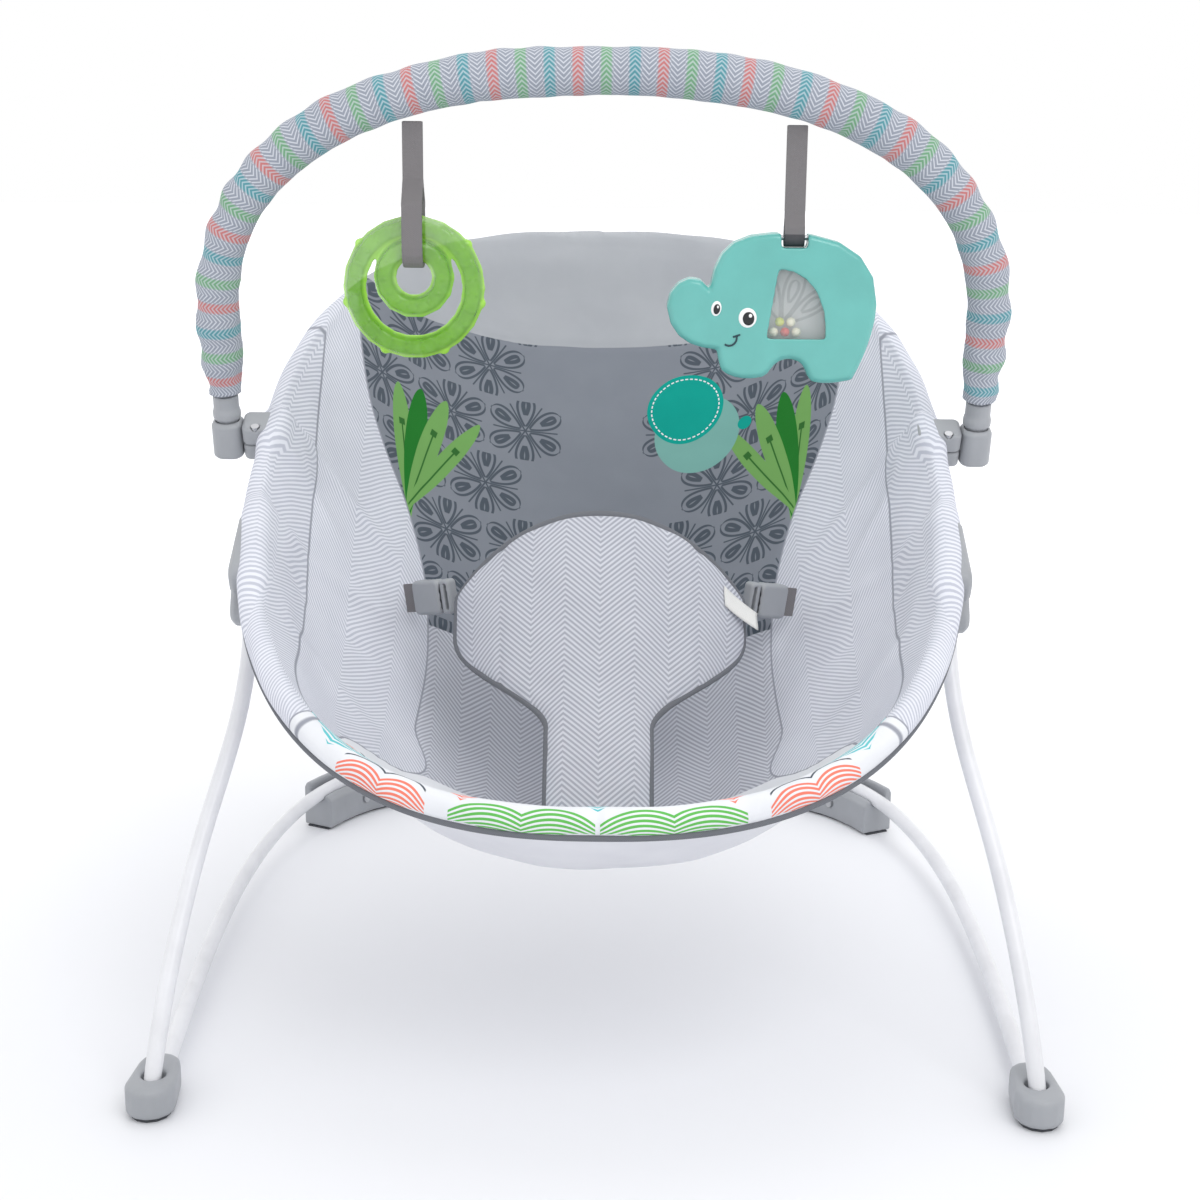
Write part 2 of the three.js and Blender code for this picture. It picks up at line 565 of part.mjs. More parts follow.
// The elephant's side view, trunk to the left: x across and y up from the middle of its body.
function elephantShape() {
  const body = new THREE.Shape();
  body.moveTo(-37, 10);
  body.bezierCurveTo(-34, 32, -26, 42, 0, 43);
  body.bezierCurveTo(38, 45, 61, 32, 61, 2);
  body.bezierCurveTo(61, -12, 54, -32, 48, -42);
  body.quadraticCurveTo(32, -46, 24, -43);
  body.bezierCurveTo(20, -40, 22, -31, 11, -30);
  body.bezierCurveTo(0, -30, 1, -39, -5, -41);
  body.bezierCurveTo(-14, -43, -24, -42, -29, -37);
  body.quadraticCurveTo(-31, -32, -32, -25);
  body.bezierCurveTo(-46, -24, -60, -20, -62, 0);
  body.bezierCurveTo(-62, 14, -44, 24, -37, 10);
  return body;
}

// The ear: a quarter-round window, set into the front.
function earShape(inset) {
  const ear = new THREE.Shape();
  ear.moveTo(-5 + inset, -20 + inset);
  ear.lineTo(1 + inset, 25 - 1.4 * inset);
  ear.bezierCurveTo(16, 25 - 1.3 * inset, 34 - inset, 12, 34 - 1.3 * inset, -20 + inset);
  return ear;
}

const upright3d = (geometry) => geometry.rotateX(Math.PI / 2); // from the drawing's plane to facing -Y

function rattleShell(front) {
  const { thickness, wall, pinHeight } = RATTLE;
  const half = thickness / 2;
  const whole = slab(elephantShape(), thickness, 2.4, 5).translate(0, 0, -half);
  const [low, high] = front ? [GAP / 2, half + 1] : [-half - 1, -GAP / 2];
  const side = block([-80, -60, low], [80, 60, high]);
  const notch = block([4, pinHeight - 5.5, -half - 1], [19.5, pinHeight + 12, half + 1]);
  const pinHole = pin(V(0, pinHeight, 0), V(24, pinHeight, 0), 1.5 + GAP, 8);
  const chamberDepth = half - wall;
  const chamber = slab(earShape(-2), 2 * chamberDepth, 0, 5).translate(0, 0, -chamberDepth);
  const window = slab(earShape(2), 20, 0, 5);
  return upright3d(cut(keep(whole, side), notch, pinHole, chamber, ...(front ? [window] : [])));
}

const earPlate = (inset, from, to) =>
  upright3d(slab(earShape(inset), to - from, 0, 5).translate(0, 0, from));

const BEAD_R = 3;
const BEADS = [[1.5, -15], [8.2, -15], [14.9, -15], [4.9, -9], [11.5, -9]];

// ---- assembly --------------------------------------------------------------------------------

// Everything that exists once on each side, drawn for the right and mirrored for the left.
function sideParts(side) {
  const group = new THREE.Group();
  const add = (name, geometry, material) => group.add(named(`${side}_${name}`, geometry, material));
  add("front_foot", frontFoot(), GREY_PLASTIC);
  add("front_foot_pad", frontFootPad(), RUBBER);
  add("rear_foot", rearFoot(), GREY_PLASTIC);
  add("rear_foot_pad", rearFootPad(), RUBBER);
  add("rear_foot_screw", rearScrew(), STEEL);
  add("upright", pipe(uprightCurve, UPRIGHT_R, UPRIGHT_STEPS), WHITE_PAINT);
  add("hub_outer_shell", hubShell(true), GREY_PLASTIC);
  add("hub_inner_shell", hubShell(false), GREY_PLASTIC);
  add("hub_screw_lower", hubScrew(0), STEEL);
  add("hub_screw_upper", hubScrew(1), STEEL);
  add("bar_clamp_upper", clampBody(GAP / 2, 13), GREY_PLASTIC);
  add("bar_clamp_lower", clampBody(-11, -GAP / 2), GREY_PLASTIC);
  add("bar_clamp_screw", clampScrew(), STEEL);
  add("bar_cup", barCup(), GREY_PLASTIC);
  add("bar_end_plug", barEndPlug(), GREY_PLASTIC);
  group.add(buckleGroup(side));
  if (side === "left") group.scale.x = -1;
  return group;
}

const BUCKLE_START = [76, -22, 229];
const BUCKLE_AIM = [0.74, 0.64, -0.2];

function buckleGroup(side) {
  const group = new THREE.Group();
  const along = V(...BUCKLE_AIM).normalize();
  const wide = V(0, 0, 1).addScaledVector(along, -along.z).normalize();
  group.setRotationFromMatrix(new THREE.Matrix4().makeBasis(along, wide, along.clone().cross(wide)));
  group.position.set(...BUCKLE_START);
  group.add(named(`${side}_buckle_clip`, buckleClip(), GREY_PLASTIC));
  group.add(named(`${side}_buckle_receptacle`, buckleReceptacle(), GREY_PLASTIC));
  group.add(named(`${side}_waist_strap`, waistStrap(), GREY_WEBBING));
  return group;
}

function toyBar() {
  const group = new THREE.Group();
  const tubeCurve = barCurve(23.8);
  group.add(named("toy_bar_tube", pipe(tubeCurve, BAR_R, BAR_STEPS, 1.4), GREY_PLASTIC));
  group.add(named("toy_bar_sleeve", sleeve(), SLEEVE_FABRIC));
  return group;
}

const sleeve = () => cut(rod(barCurve(31), BAR_SLEEVE_R, 24, 10), airRound(barCurve(23.8), BAR_R, BAR_STEPS));

function teetherToy() {
  const group = new THREE.Group();
  const top = strapTop();
  group.position.set(-top.x, top.y, top.z);
  group.add(named("left_toy_strap", webbingLoop(TEETHER_STRAP, -36, 10), GREY_WEBBING));
  const ring = named("teether_ring", teether(), GREEN_GEL);
  ring.position.z = -TEETHER.drop;
  group.add(ring);
  return group;
}

function rattleToy() {
  const group = new THREE.Group();
  const top = strapTop();
  group.position.copy(top);
  const strap = webbingLoop(RATTLE_STRAP + 2 + WEBBING, -RATTLE_STRAP + 8, 2);
  group.add(named("right_toy_strap", strap, GREY_WEBBING));
  const rattle = new THREE.Group();
  rattle.position.set(-11.8, 0, -RATTLE_STRAP - RATTLE.pinHeight);
  rattle.add(named("rattle_front_shell", rattleShell(true), TEAL_PLASTIC));
  rattle.add(named("rattle_back_shell", rattleShell(false), TEAL_PLASTIC));
  rattle.add(named("rattle_ear_window", earPlate(-1.6, 5.9, 7.2), CLEAR_PLASTIC));
  rattle.add(named("rattle_ear_panel", earPlate(-1.6, -5.2, -3.7), EAR_GREY));
  const crossPin = pin(V(1, 0, RATTLE.pinHeight), V(22.6, 0, RATTLE.pinHeight), 1.5, 8);
  rattle.add(named("rattle_strap_pin", crossPin, STEEL));
  BEADS.forEach(([x, z], i) => {
    const bead = named(`rattle_bead_${i + 1}`, new THREE.SphereGeometry(BEAD_R, 8, 6), WHITE_PAINT);
    bead.position.set(x, 0, z);
    rattle.add(bead);
  });
  group.add(rattle);
  return group;
}

const bouncer = new THREE.Group();
bouncer.add(named("base_tube", pipe(baseCurve, BASE_TUBE_R, BASE_STEPS), WHITE_PAINT));
bouncer.add(named("upper_frame_tube", pipe(upperFrameCurve, FRAME_R, UPPER_STEPS), WHITE_PAINT));
bouncer.add(named("lower_frame_tube", pipe(lowerFrameCurve, FRAME_R, LOWER_STEPS), WHITE_PAINT));
for (const [name, panel] of Object.entries(slingPanels())) bouncer.add(named(name, panel, SEAT_FABRIC));
bouncer.add(named("restraint_pad", restraintPad(), SEAT_FABRIC));
bouncer.add(sideParts("left"), sideParts("right"), toyBar(), teetherToy(), rattleToy());

bouncer.position.y = MIDDLE_SHIFT;

export default bouncer;
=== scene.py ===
"""The looks of a baby bouncer seat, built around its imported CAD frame."""
import math

import bmesh
import bpy
import numpy as np
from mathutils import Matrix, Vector


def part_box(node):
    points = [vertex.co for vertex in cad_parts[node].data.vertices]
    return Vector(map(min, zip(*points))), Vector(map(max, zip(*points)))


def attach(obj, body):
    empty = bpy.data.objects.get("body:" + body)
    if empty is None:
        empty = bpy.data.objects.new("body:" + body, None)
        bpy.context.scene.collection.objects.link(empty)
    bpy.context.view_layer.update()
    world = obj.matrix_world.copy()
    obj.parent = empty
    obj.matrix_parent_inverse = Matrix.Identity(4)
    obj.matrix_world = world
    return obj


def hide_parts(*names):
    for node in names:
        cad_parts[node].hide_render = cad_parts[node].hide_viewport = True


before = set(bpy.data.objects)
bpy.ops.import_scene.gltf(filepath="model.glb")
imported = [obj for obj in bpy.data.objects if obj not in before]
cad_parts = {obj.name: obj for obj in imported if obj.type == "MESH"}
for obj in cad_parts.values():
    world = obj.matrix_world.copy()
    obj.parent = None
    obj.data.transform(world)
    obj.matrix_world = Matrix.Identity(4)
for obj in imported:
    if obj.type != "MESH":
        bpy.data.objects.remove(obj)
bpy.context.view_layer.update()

# ---- driving dimensions, in metres -------------------------------------------------------------

MM = 0.001
MIDDLE_SHIFT = 4.4 * MM
FRAME_R = 6 * MM
FRAME_TILT = math.radians(27)
FRAME_CENTRE = (-15.5 * MM + MIDDLE_SHIFT, 299.5 * MM)  # y and z of the seat oval's middle
FRAME_HALF_WIDTH = 207 * MM
FRAME_HALF_LENGTH = 281 * MM
FRONT_POWER, BACK_POWER = 2.5, 2.75
HUB_ALONG = -72 * MM
CLAMP_ALONG = 42 * MM

CLOTH = 1.4 * MM  # fabric wrapped round a tube
SLING_THICKNESS = 4.2 * MM
SLING_INSET = FRAME_R + 1.2 * MM
SLING_WALL_POWER = 2.6
SLING_DEPTH = ((-274, 0), (-262, 26), (-240, 66), (-205, 116), (-160, 146), (-100, 158), (-20, 146),
               (70, 112), (160, 72), (235, 32), (274, 0))

BAR_LEAN = math.radians(75)
BAR_X = 233.5 * MM
BAR_RISE = 231 * MM
BAR_ARCH = 158 * MM
BAR_POWER = 2.35

# ---- small helpers -----------------------------------------------------------------------------


def smoothstep(low, high, x):
    t = np.clip((np.asarray(x, float) - low) / (high - low), 0, 1)
    return t * t * (3 - 2 * t)


def bell(x, width):
    """A smooth bump, 1 at x = 0."""
    return np.exp(-((np.asarray(x) / width) ** 2))


def wave_noise(a, b, scale, seed):
    """Smooth noise between about -1 and 1: a few sine waves in fixed directions."""
    total = np.zeros_like(np.asarray(a, float))
    for k in range(5):
        turn = 2.4 * k + 1.7 * seed
        stretch = 1 + 0.55 * k
        phase = 1.3 * seed + 2.1 * k
        along = (np.cos(turn) * a + np.sin(turn) * b) / scale
        total += np.sin(2 * np.pi * stretch * along + phase) / (1 + 0.8 * k)
    return total / 2.2


def new_object(name, points, faces):
    mesh = bpy.data.meshes.new(name)
    mesh.from_pydata([tuple(p) for p in points], [], [tuple(f) for f in faces])
    mesh.validate()
    mesh.update()
    smooth_shaded(mesh)
    return linked(name, mesh)


def smooth_shaded(mesh):
    mesh.polygons.foreach_set("use_smooth", [True] * len(mesh.polygons))


def linked(name, data):
    """A new object in the scene that shows the data."""
    piece = bpy.data.objects.new(name, data)
    bpy.context.scene.collection.objects.link(piece)
    return piece


def grid_faces(rows, columns, wrap_rows=False, wrap_columns=False):
    """Four-sided faces between the neighbours in a grid of points, which are numbered row by row."""
    faces = []
    for i in range(rows if wrap_rows else rows - 1):
        for j in range(columns if wrap_columns else columns - 1):
            below, right = (i + 1) % rows, (j + 1) % columns
            faces.append((i * columns + j, i * columns + right, below * columns + right, below * columns + j))
    return faces


def add_uv(piece, name, uv):
    """One UV pair per vertex, written to the face corners."""
    layer = piece.data.uv_layers.new(name=name)
    corners = np.zeros(len(piece.data.loops), np.int32)
    piece.data.loops.foreach_get("vertex_index", corners)
    layer.data.foreach_set("uv", np.asarray(uv, np.float32)[corners].ravel())


def add_number(piece, name, values):
    attribute = piece.data.attributes.new(name, "FLOAT", "POINT")
    attribute.data.foreach_set("value", np.asarray(values, np.float32))


def outward(piece):
    """Turns every face outwards."""
    work = bmesh.new()
    work.from_mesh(piece.data)
    bmesh.ops.recalc_face_normals(work, faces=work.faces)
    work.to_mesh(piece.data)
    work.free()


def two_faced(name, front, back):
    """A closed pad from two grids of points, one for each face, joined all round."""
    rows, columns = front.shape[:2]
    count = rows * columns
    faces = grid_faces(rows, columns)
    faces += [tuple(i + count for i in f[::-1]) for f in faces]
    border = list(range(columns)) + [i * columns + columns - 1 for i in range(1, rows)]
    border += [(rows - 1) * columns + j for j in range(columns - 2, -1, -1)]
    border += [i * columns for i in range(rows - 2, 0, -1)]
    for here, there in zip(border, border[1:] + border[:1]):
        faces.append((here, here + count, there + count, there))
    return new_object(name, np.concatenate([front.reshape(-1, 3), back.reshape(-1, 3)]), faces)


def apply_modifiers(piece):
    depsgraph = bpy.context.evaluated_depsgraph_get()
    mesh = bpy.data.meshes.new_from_object(piece.evaluated_get(depsgraph))
    piece.modifiers.clear()
    piece.data = mesh


def paint(piece, material):
    piece.data.materials.clear()
    piece.data.materials.append(material)


def place(piece, body, material, slot, *replaced):
    """Gives a piece its looks and its body, and hides the CAD nodes that it stands in for."""
    paint(piece, material)
    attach(piece, body)
    if replaced:
        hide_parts(*replaced)
    return piece


# ---- materials ---------------------------------------------------------------------------------


def operator(operation):
    return lambda self, *others: self.maths(operation, self, *others)


def reversed_operator(operation):
    return lambda self, other: self.maths(operation, other, self)


class Value:
    """A number or vector in a node tree. Arithmetic on it adds maths nodes and gives their result."""

    def __init__(self, tree, socket):
        self.tree = tree
        self.socket = socket

    def maths(self, operation, *operands):
        return add_node(self.tree, "ShaderNodeMath", *enumerate(operands), operation=operation)

    def ramp(self, low, high):
        """0 at low and 1 at high, smooth between and level beyond."""
        return add_node(self.tree, "ShaderNodeMapRange", ("Value", self), ("From Min", low),
                        ("From Max", high), interpolation_type="SMOOTHSTEP")

    __add__ = __radd__ = operator("ADD")
    __sub__, __rsub__ = operator("SUBTRACT"), reversed_operator("SUBTRACT")
    __mul__ = __rmul__ = operator("MULTIPLY")
    __truediv__ = operator("DIVIDE")
    __mod__ = operator("FLOORED_MODULO")
    __pow__ = operator("POWER")
    __abs__ = operator("ABSOLUTE")
    at_least, at_most, above = operator("MAXIMUM"), operator("MINIMUM"), operator("GREATER_THAN")
    floor, fract, root = operator("FLOOR"), operator("FRACT"), operator("SQRT")
    sine, cosine, arctan2 = operator("SINE"), operator("COSINE"), operator("ARCTAN2")


def add_node(tree, kind, *inputs, output=0, **settings):
    """Adds a node, each input being a (socket, value) pair, and returns one of its outputs."""
    node = tree.nodes.new(kind)
    for key, value in settings.items():
        setattr(node, key, value)
    for socket, value in inputs:
        if isinstance(value, Value):
            tree.links.new(value.socket, node.inputs[socket])
        else:
            node.inputs[socket].default_value = value
    return Value(tree, node.outputs[output])


class Cloth:
    """A material and its node tree. Most methods add a node and return its output."""

    def __init__(self, name, roughness, **settings):
        self.material = bpy.data.materials.new(name)
        self.material.use_nodes = True
        self.tree = self.material.node_tree
        self.shader = self.tree.nodes["Principled BSDF"]
        self.shader.inputs["Roughness"].default_value = roughness
        for key, value in settings.items():
            self.shader.inputs[key.replace("_", " ")].default_value = value

    def add(self, kind, *inputs, **settings):
        return add_node(self.tree, kind, *inputs, **settings)

    def feed(self, name, value):
        self.tree.links.new(value.socket, self.shader.inputs[name])

    def split(self, vector):
        node = self.tree.nodes.new("ShaderNodeSeparateXYZ")
        self.tree.links.new(vector.socket, node.inputs[0])
        return [Value(self.tree, output) for output in node.outputs]

    def uv(self, name):
        return self.split(self.add("ShaderNodeUVMap", uv_map=name))[:2]

    def number(self, name):
        return self.add("ShaderNodeAttribute", attribute_name=name, output=2)

    def position(self):
        return self.add("ShaderNodeTexCoord", output=3)

    def vector(self, x, y):
        return self.add("ShaderNodeCombineXYZ", (0, x), (1, y))

    def noise(self, vector, scale, detail=3.0):
        return self.add("ShaderNodeTexNoise", ("Vector", vector), ("Scale", scale), ("Detail", detail),
                        ("Roughness", 0.55))

    def mix(self, share, first, second, blend="MIX"):
        return self.add("ShaderNodeMix", (0, share), (6, first), (7, second), output=2,
                        data_type="RGBA", blend_type=blend)

    def colour(self, value):
        self.feed("Base Color", value)

    def roughen(self, value, low, high):
        mapped = self.add("ShaderNodeMapRange", ("Value", value), ("To Min", low), ("To Max", high))
        self.feed("Roughness", mapped)

    def bump(self, *layers):
        """Each layer is (height, strength, distance in metres)."""
        below = []
        for height, strength, distance in layers:
            normal = self.add("ShaderNodeBump", ("Strength", strength), ("Distance", distance),
                              ("Height", height), *below)
            below = [("Normal", normal)]
        self.feed("Normal", normal)


def rgb(red, green, blue):
    """A colour as it looks on screen, 0 to 255, turned to the linear values shaders take."""
    def linear(c):
        c /= 255
        return c / 12.92 if c <= 0.04045 else ((c + 0.055) / 1.055) ** 2.4
    return (linear(red), linear(green), linear(blue), 1)


def darker(colour, share):
    return tuple(c * share for c in colour[:3]) + (1,)


WHITE_THREAD = rgb(232, 234, 242)
GREY_THREAD = rgb(196, 199, 211)
BIB_WHITE = rgb(210, 212, 220)
BIB_GREY = rgb(168, 171, 182)
PRINT_GREY = rgb(134, 139, 148)
PRINT_DARK = rgb(82, 90, 100)
PLAIN_GREY = rgb(178, 181, 186)
PIPING_GREY = rgb(118, 121, 128)
CORAL = rgb(243, 132, 112)
AQUA = rgb(104, 200, 206)
LEAF_GREEN = rgb(104, 190, 92)
PRINT_WHITE = rgb(236, 238, 242)
LIGHT_LEAF = rgb(118, 168, 94)
DEEP_LEAF = rgb(34, 120, 42)
VEIN_GREEN = rgb(52, 108, 48)
TEAL = rgb(10, 160, 146)
PALE_AQUA = rgb(124, 176, 168)
# painted shadow: the darker line along the seams stands in for the shade in their sewn grooves
SEAM_PAINTED_SHADOW = rgb(158, 161, 172)
UNDER_WHITE = rgb(232, 233, 238)
FABRIC = {"Sheen Weight": 0.04, "Sheen Roughness": 0.5, "Specular IOR Level": 0.15}

ZIGZAG_PITCH = 2.6 * MM  # between stripes, measured square to them
ZIGZAG_SLOPE = 0.95
THREAD_PITCH = 0.7 * MM
SIDE_COLUMN = 40 * MM
SEAT_COLUMN = 20 * MM
SEAT_SEAM = -8 * MM  # where the flowered back ends and the seat's zigzag starts
RIM_REACH = 20 * MM  # round the tube, from where the cloth meets it to the piping
FLOWER_TILE = 53 * MM
# Middles of the round motif's shapes, in the oval's plane (across, along) in mm.
DISC_PLACE, DOME_PLACE, BALL_PLACE, STEM_PLACE = (58, 166), (66, 147), (98, 148), (91, 152)
RING_DASHES = 44
EDGE_NAMES = ("centre_edge", "top_edge", "front_edge", "strip_edge")  # the sling's distances to its seams


def zigzag(u, v, start=0.0):
    """White and grey chevron stripes; u runs across the columns, v up them."""
    climb = abs(((u + start) / (2 * SEAT_COLUMN)).fract() - 0.5) * (2 * SEAT_COLUMN * ZIGZAG_SLOPE)
    turns = (v + climb) * (2 * math.pi / (ZIGZAG_PITCH * math.hypot(1, ZIGZAG_SLOPE)))
    return turns.sine().ramp(-0.45, 0.45)


def weave(u, v):
    """Over-and-under threads, as a height."""
    turn = 2 * math.pi / THREAD_PITCH
    return (u * turn).sine() * (v * turn).sine()


def worn_cloth(cloth, colour, u, v):
    """Finishes a woven material: thread-scale bump, soft creases and slight unevenness of colour."""
    where = cloth.vector(u, v)
    blotch = cloth.noise(where, 22.0, 4.0)
    fine = cloth.noise(where, 900.0, 2.0)
    shade = cloth.mix(blotch.ramp(0.2, 0.8), (0.93, 0.93, 0.94, 1), (1, 1, 1, 1))
    cloth.colour(cloth.mix(1.0, colour, shade, "MULTIPLY"))
    cloth.roughen(fine, 0.82, 0.98)
    creases = cloth.noise(where, 30.0, 3.0)
    cloth.bump((creases, 0.35, 2.5 * MM), (weave(u, v), 0.35, 0.25 * MM), (fine, 0.25, 0.2 * MM))


def turned(u, v, lean):
    """(along, across) of a place, on axes that lean by an angle from straight up."""
    c, s = math.cos(lean), math.sin(lean)
    return u * s + v * c, u * c - v * s


def leaf(u, v, base, lean, length, width):
    """(fill, vein) of a printed pointed leaf that grows from its base."""
    p, q = turned(u - base[0], v - base[1], lean)
    share = p / length
    side = abs(q)
    swell = share.at_least(0.0) ** 0.8 * (1.0 - share).at_least(0.0) ** 0.55
    fill = (swell * (width * 0.98) - side).ramp(0.0, 0.4 * MM)
    vein = side.ramp(0.7 * MM, 0.4 * MM) * (share.ramp(0.08, 0.1) * share.ramp(0.72, 0.7))
    tip = abs(share - 0.7).ramp(0.03, 0.02) * side.ramp(2.4 * MM, 2.1 * MM)
    return fill, vein.at_least(tip) * fill


def petal_line(p, side, start, length, width, thickness=0.9 * MM):
    """The outline of a drop-shaped petal that points away from the flower's middle."""
    share = (p - start) / length
    swell = share.at_least(0.0) * (1.0 - share).at_least(0.0).root()
    line = abs(side - swell * (2.6 * width)).ramp(thickness * 1.2, thickness * 0.8)
    return line * (share.ramp(0.0, 0.04) * share.ramp(1.05, 1.0))


def flowers(u, v):
    """Six-petal flowers, drawn in thick lines on a staggered grid, away from the middle of the panel."""
    row_height = FLOWER_TILE * 0.87
    row = v / row_height
    shift = row.floor() % 2.0 * (FLOWER_TILE / 2)
    column = (u + shift) / FLOWER_TILE
    x = (column.fract() - 0.5) * FLOWER_TILE
    y = (row.fract() - 0.5) * row_height
    radius = (x * x + y * y).root()
    sixth = math.pi / 3
    turn = abs((y.arctan2(x) / sixth).fract() - 0.5) * sixth
    p, side = radius * turn.cosine(), radius * turn.sine()
    petal = petal_line(p, side, 3 * MM, 24.5 * MM, 6 * MM)
    inner = petal_line(p, side, 12 * MM, 12 * MM, 1.9 * MM, 1.5 * MM)
    spoke = (radius * (sixth / 2 - turn).sine()).ramp(0.7 * MM, 0.4 * MM) * radius.ramp(23 * MM, 22 * MM)
    middle = abs(column.floor() * FLOWER_TILE - shift + FLOWER_TILE / 2)
    return petal.at_least(inner).at_least(spoke) * middle.ramp(50 * MM, 51 * MM)


# Striped shapes printed round the front, in pairs left and right of the middle, in mm:
# (distance round the rim, distance in from it, width, height, colour)
FRONT_SHAPES = ((38, 9, 74, 17, LEAF_GREEN), (114, 9, 54, 17, CORAL), (152, 25, 100, 12, AQUA),
                (70, 24, 42, 10, CORAL), (0, 33, 70, 18, AQUA), (110, 47, 70, 18, LEAF_GREEN),
                (34, 54, 70, 20, CORAL), (156, 60, 70, 20, CORAL), (76, 74, 78, 22, AQUA),
                (0, 84, 70, 22, LEAF_GREEN), (40, 110, 76, 22, CORAL), (108, 106, 70, 20, LEAF_GREEN),
                (0, 138, 74, 22, AQUA), (74, 138, 74, 22, CORAL))


def front_shape(travel, inset, at, wide, tall):
    """(stripes, outline arc) of one shape: two humps of nested stripes that meet in a kink."""
    x = abs((travel - at[0]) / (wide / 2))
    hump = x - 0.42
    height = inset - at[1] + hump * hump * (1.15 * tall)
    spread = 1.0 - x
    top = tall * 0.36 - height
    low = height + spread * (tall * 0.9)
    inside = top.ramp(0.0, 0.3 * MM) * low.ramp(0.0, 0.3 * MM) * spread.ramp(0.0, 0.01)
    stripe = (height * (2 * math.pi / (2.2 * MM))).sine().ramp(-0.4, 0.1)
    arc = abs(top + 3.2 * MM).ramp(0.65 * MM, 0.4 * MM) * spread.ramp(0.05, 0.08)
    return inside * stripe, arc


def front_print(cloth, travel, inset):
    """Striped shapes in coral, aqua and green with thin grey arcs, on white."""
    travel = abs(travel)
    printed = PRINT_WHITE
    for number, (round_rim, inward, wide, tall, colour) in enumerate(FRONT_SHAPES):
        stripes, arc = front_shape(travel, inset, (round_rim * MM, inward * MM), wide * MM, tall * MM)
        if number % 2:
            printed = cloth.mix(arc, printed, PRINT_DARK)
        printed = cloth.mix(stripes, printed, colour)
    return printed


# The printed leaves on the left grow from one foot: (tip, width, is dark), in the oval's plane in mm.
LEAF_FOOT = (-127, 74)
LEAF_TIPS = (((-139, 156), 19, False), ((-124, 159), 21, True),
             ((-107, 158), 19, False), ((-84, 148), 16, False))


def printed_leaves(cloth, back, u, v, flat_place):
    """A tuft of leaves on the left of the back, and its mirror image on the right."""
    for mirror in (1, -1):
        foot = np.array(flat_place(mirror * LEAF_FOOT[0] * MM, LEAF_FOOT[1] * MM))
        for (across, along), width, deep in LEAF_TIPS:
            tip = np.array(flat_place(mirror * across * MM, along * MM))
            reach = tip - foot
            start = foot - 0.12 * reach
            length = float(np.hypot(*(tip - start)))
            fill, vein = leaf(u, v, start, math.atan2(reach[0], reach[1]), length, width * MM)
            back = cloth.mix(fill, back, DEEP_LEAF if deep else LIGHT_LEAF)
            if not deep:
                back = cloth.mix(vein, back, VEIN_GREEN)
    return back


def over_seam(edge):
    """0 outside a seam and 1 inside it."""
    return edge.ramp(-0.3 * MM, 0.3 * MM)


def seat_cloth(flat_place):
    """All of the sling's panels: zigzag sides, flowered back, plain top, zigzag seat and printed front."""
    cloth = Cloth("seat_cloth", 0.9, **FABRIC)
    u, v = cloth.uv("flat")
    travel, around = cloth.uv("rim")
    centre, top, front, strip = [cloth.number(name) for name in EDGE_NAMES]
    sides = cloth.mix(side_stripes(cloth.number("wall"), v), GREY_THREAD, WHITE_THREAD)
    seat = cloth.mix(zigzag(u, v, 0.5 * SEAT_COLUMN), BIB_GREY, BIB_WHITE)
    back = cloth.mix(flowers(u, v), PRINT_GREY, PRINT_DARK)
    back = printed_leaves(cloth, back, u, v, flat_place)
    back = round_motif(cloth, back, u, v, flat_place)
    middle = cloth.mix(over_seam(top), back, PLAIN_GREY)
    middle = cloth.mix(v.ramp(SEAT_SEAM, SEAT_SEAM - 0.4 * MM), middle, seat)
    middle = cloth.mix(over_seam(front), middle, front_print(cloth, travel, RIM_REACH - around))
    colour = cloth.mix(over_seam(centre), sides, middle)
    # painted shadow: a darker line along the seams between panels, where their grooves are shaded
    colour = cloth.mix(abs(centre).at_most(abs(strip)).ramp(0.8 * MM, 0.2 * MM), colour, SEAM_PAINTED_SHADOW)
    colour = cloth.mix(cloth.number("under").ramp(0.45, 0.55), colour, UNDER_WHITE)
    worn_cloth(cloth, colour, u, v)
    return cloth.material


def side_stripes(wall, v):
    """Chevrons that meet at the outer strip's seam; wall is the distance outwards from it, on the cloth."""
    inner = abs(((wall + SIDE_COLUMN) / (2 * SIDE_COLUMN)).fract() - 0.5) * (2 * SIDE_COLUMN)
    past = (wall - SIDE_COLUMN).at_least(0.0)
    outer = wall.at_most(SIDE_COLUMN) - past * 0.35
    outside = wall.above(0.0)
    climb = outside * outer + (1.0 - outside) * inner
    turns = (v + climb) * (2 * math.pi / (ZIGZAG_PITCH * math.sqrt(2)))
    return turns.sine().ramp(-0.6, 0.5)


def round_motif(cloth, back, u, v, flat_place):
    """A plain disc with a dashed ring, over a paler dome, and a ball on a thin stem."""
    def measured_from(centre):
        centre_u, centre_v = flat_place(centre[0] * MM, centre[1] * MM)
        return u - centre_u, v - centre_v

    def distance(centre):
        du, dv = measured_from(centre)
        return (du * du + dv * dv).root()

    back = cloth.mix(distance(DOME_PLACE).ramp(30 * MM, 29.6 * MM), back, PALE_AQUA)
    disc = distance(DISC_PLACE)
    back = cloth.mix(disc.ramp(27 * MM, 26.6 * MM), back, TEAL)
    du, dv = measured_from(DISC_PLACE)
    dash = (dv.arctan2(du) * (RING_DASHES / (2 * math.pi))).fract().ramp(0.36, 0.42)
    ring = abs(disc - 23.6 * MM).ramp(0.55 * MM, 0.35 * MM)
    back = cloth.mix(dash * ring, back, PRINT_WHITE)
    stem = abs(distance(STEM_PLACE) - 8 * MM).ramp(0.7 * MM, 0.4 * MM)
    low = v.ramp(flat_place(91 * MM, 150 * MM)[1], flat_place(91 * MM, 149 * MM)[1])
    back = cloth.mix(stem * low, back, PALE_AQUA)
    return cloth.mix(distance(BALL_PLACE).ramp(5.2 * MM, 4.8 * MM), back, TEAL)


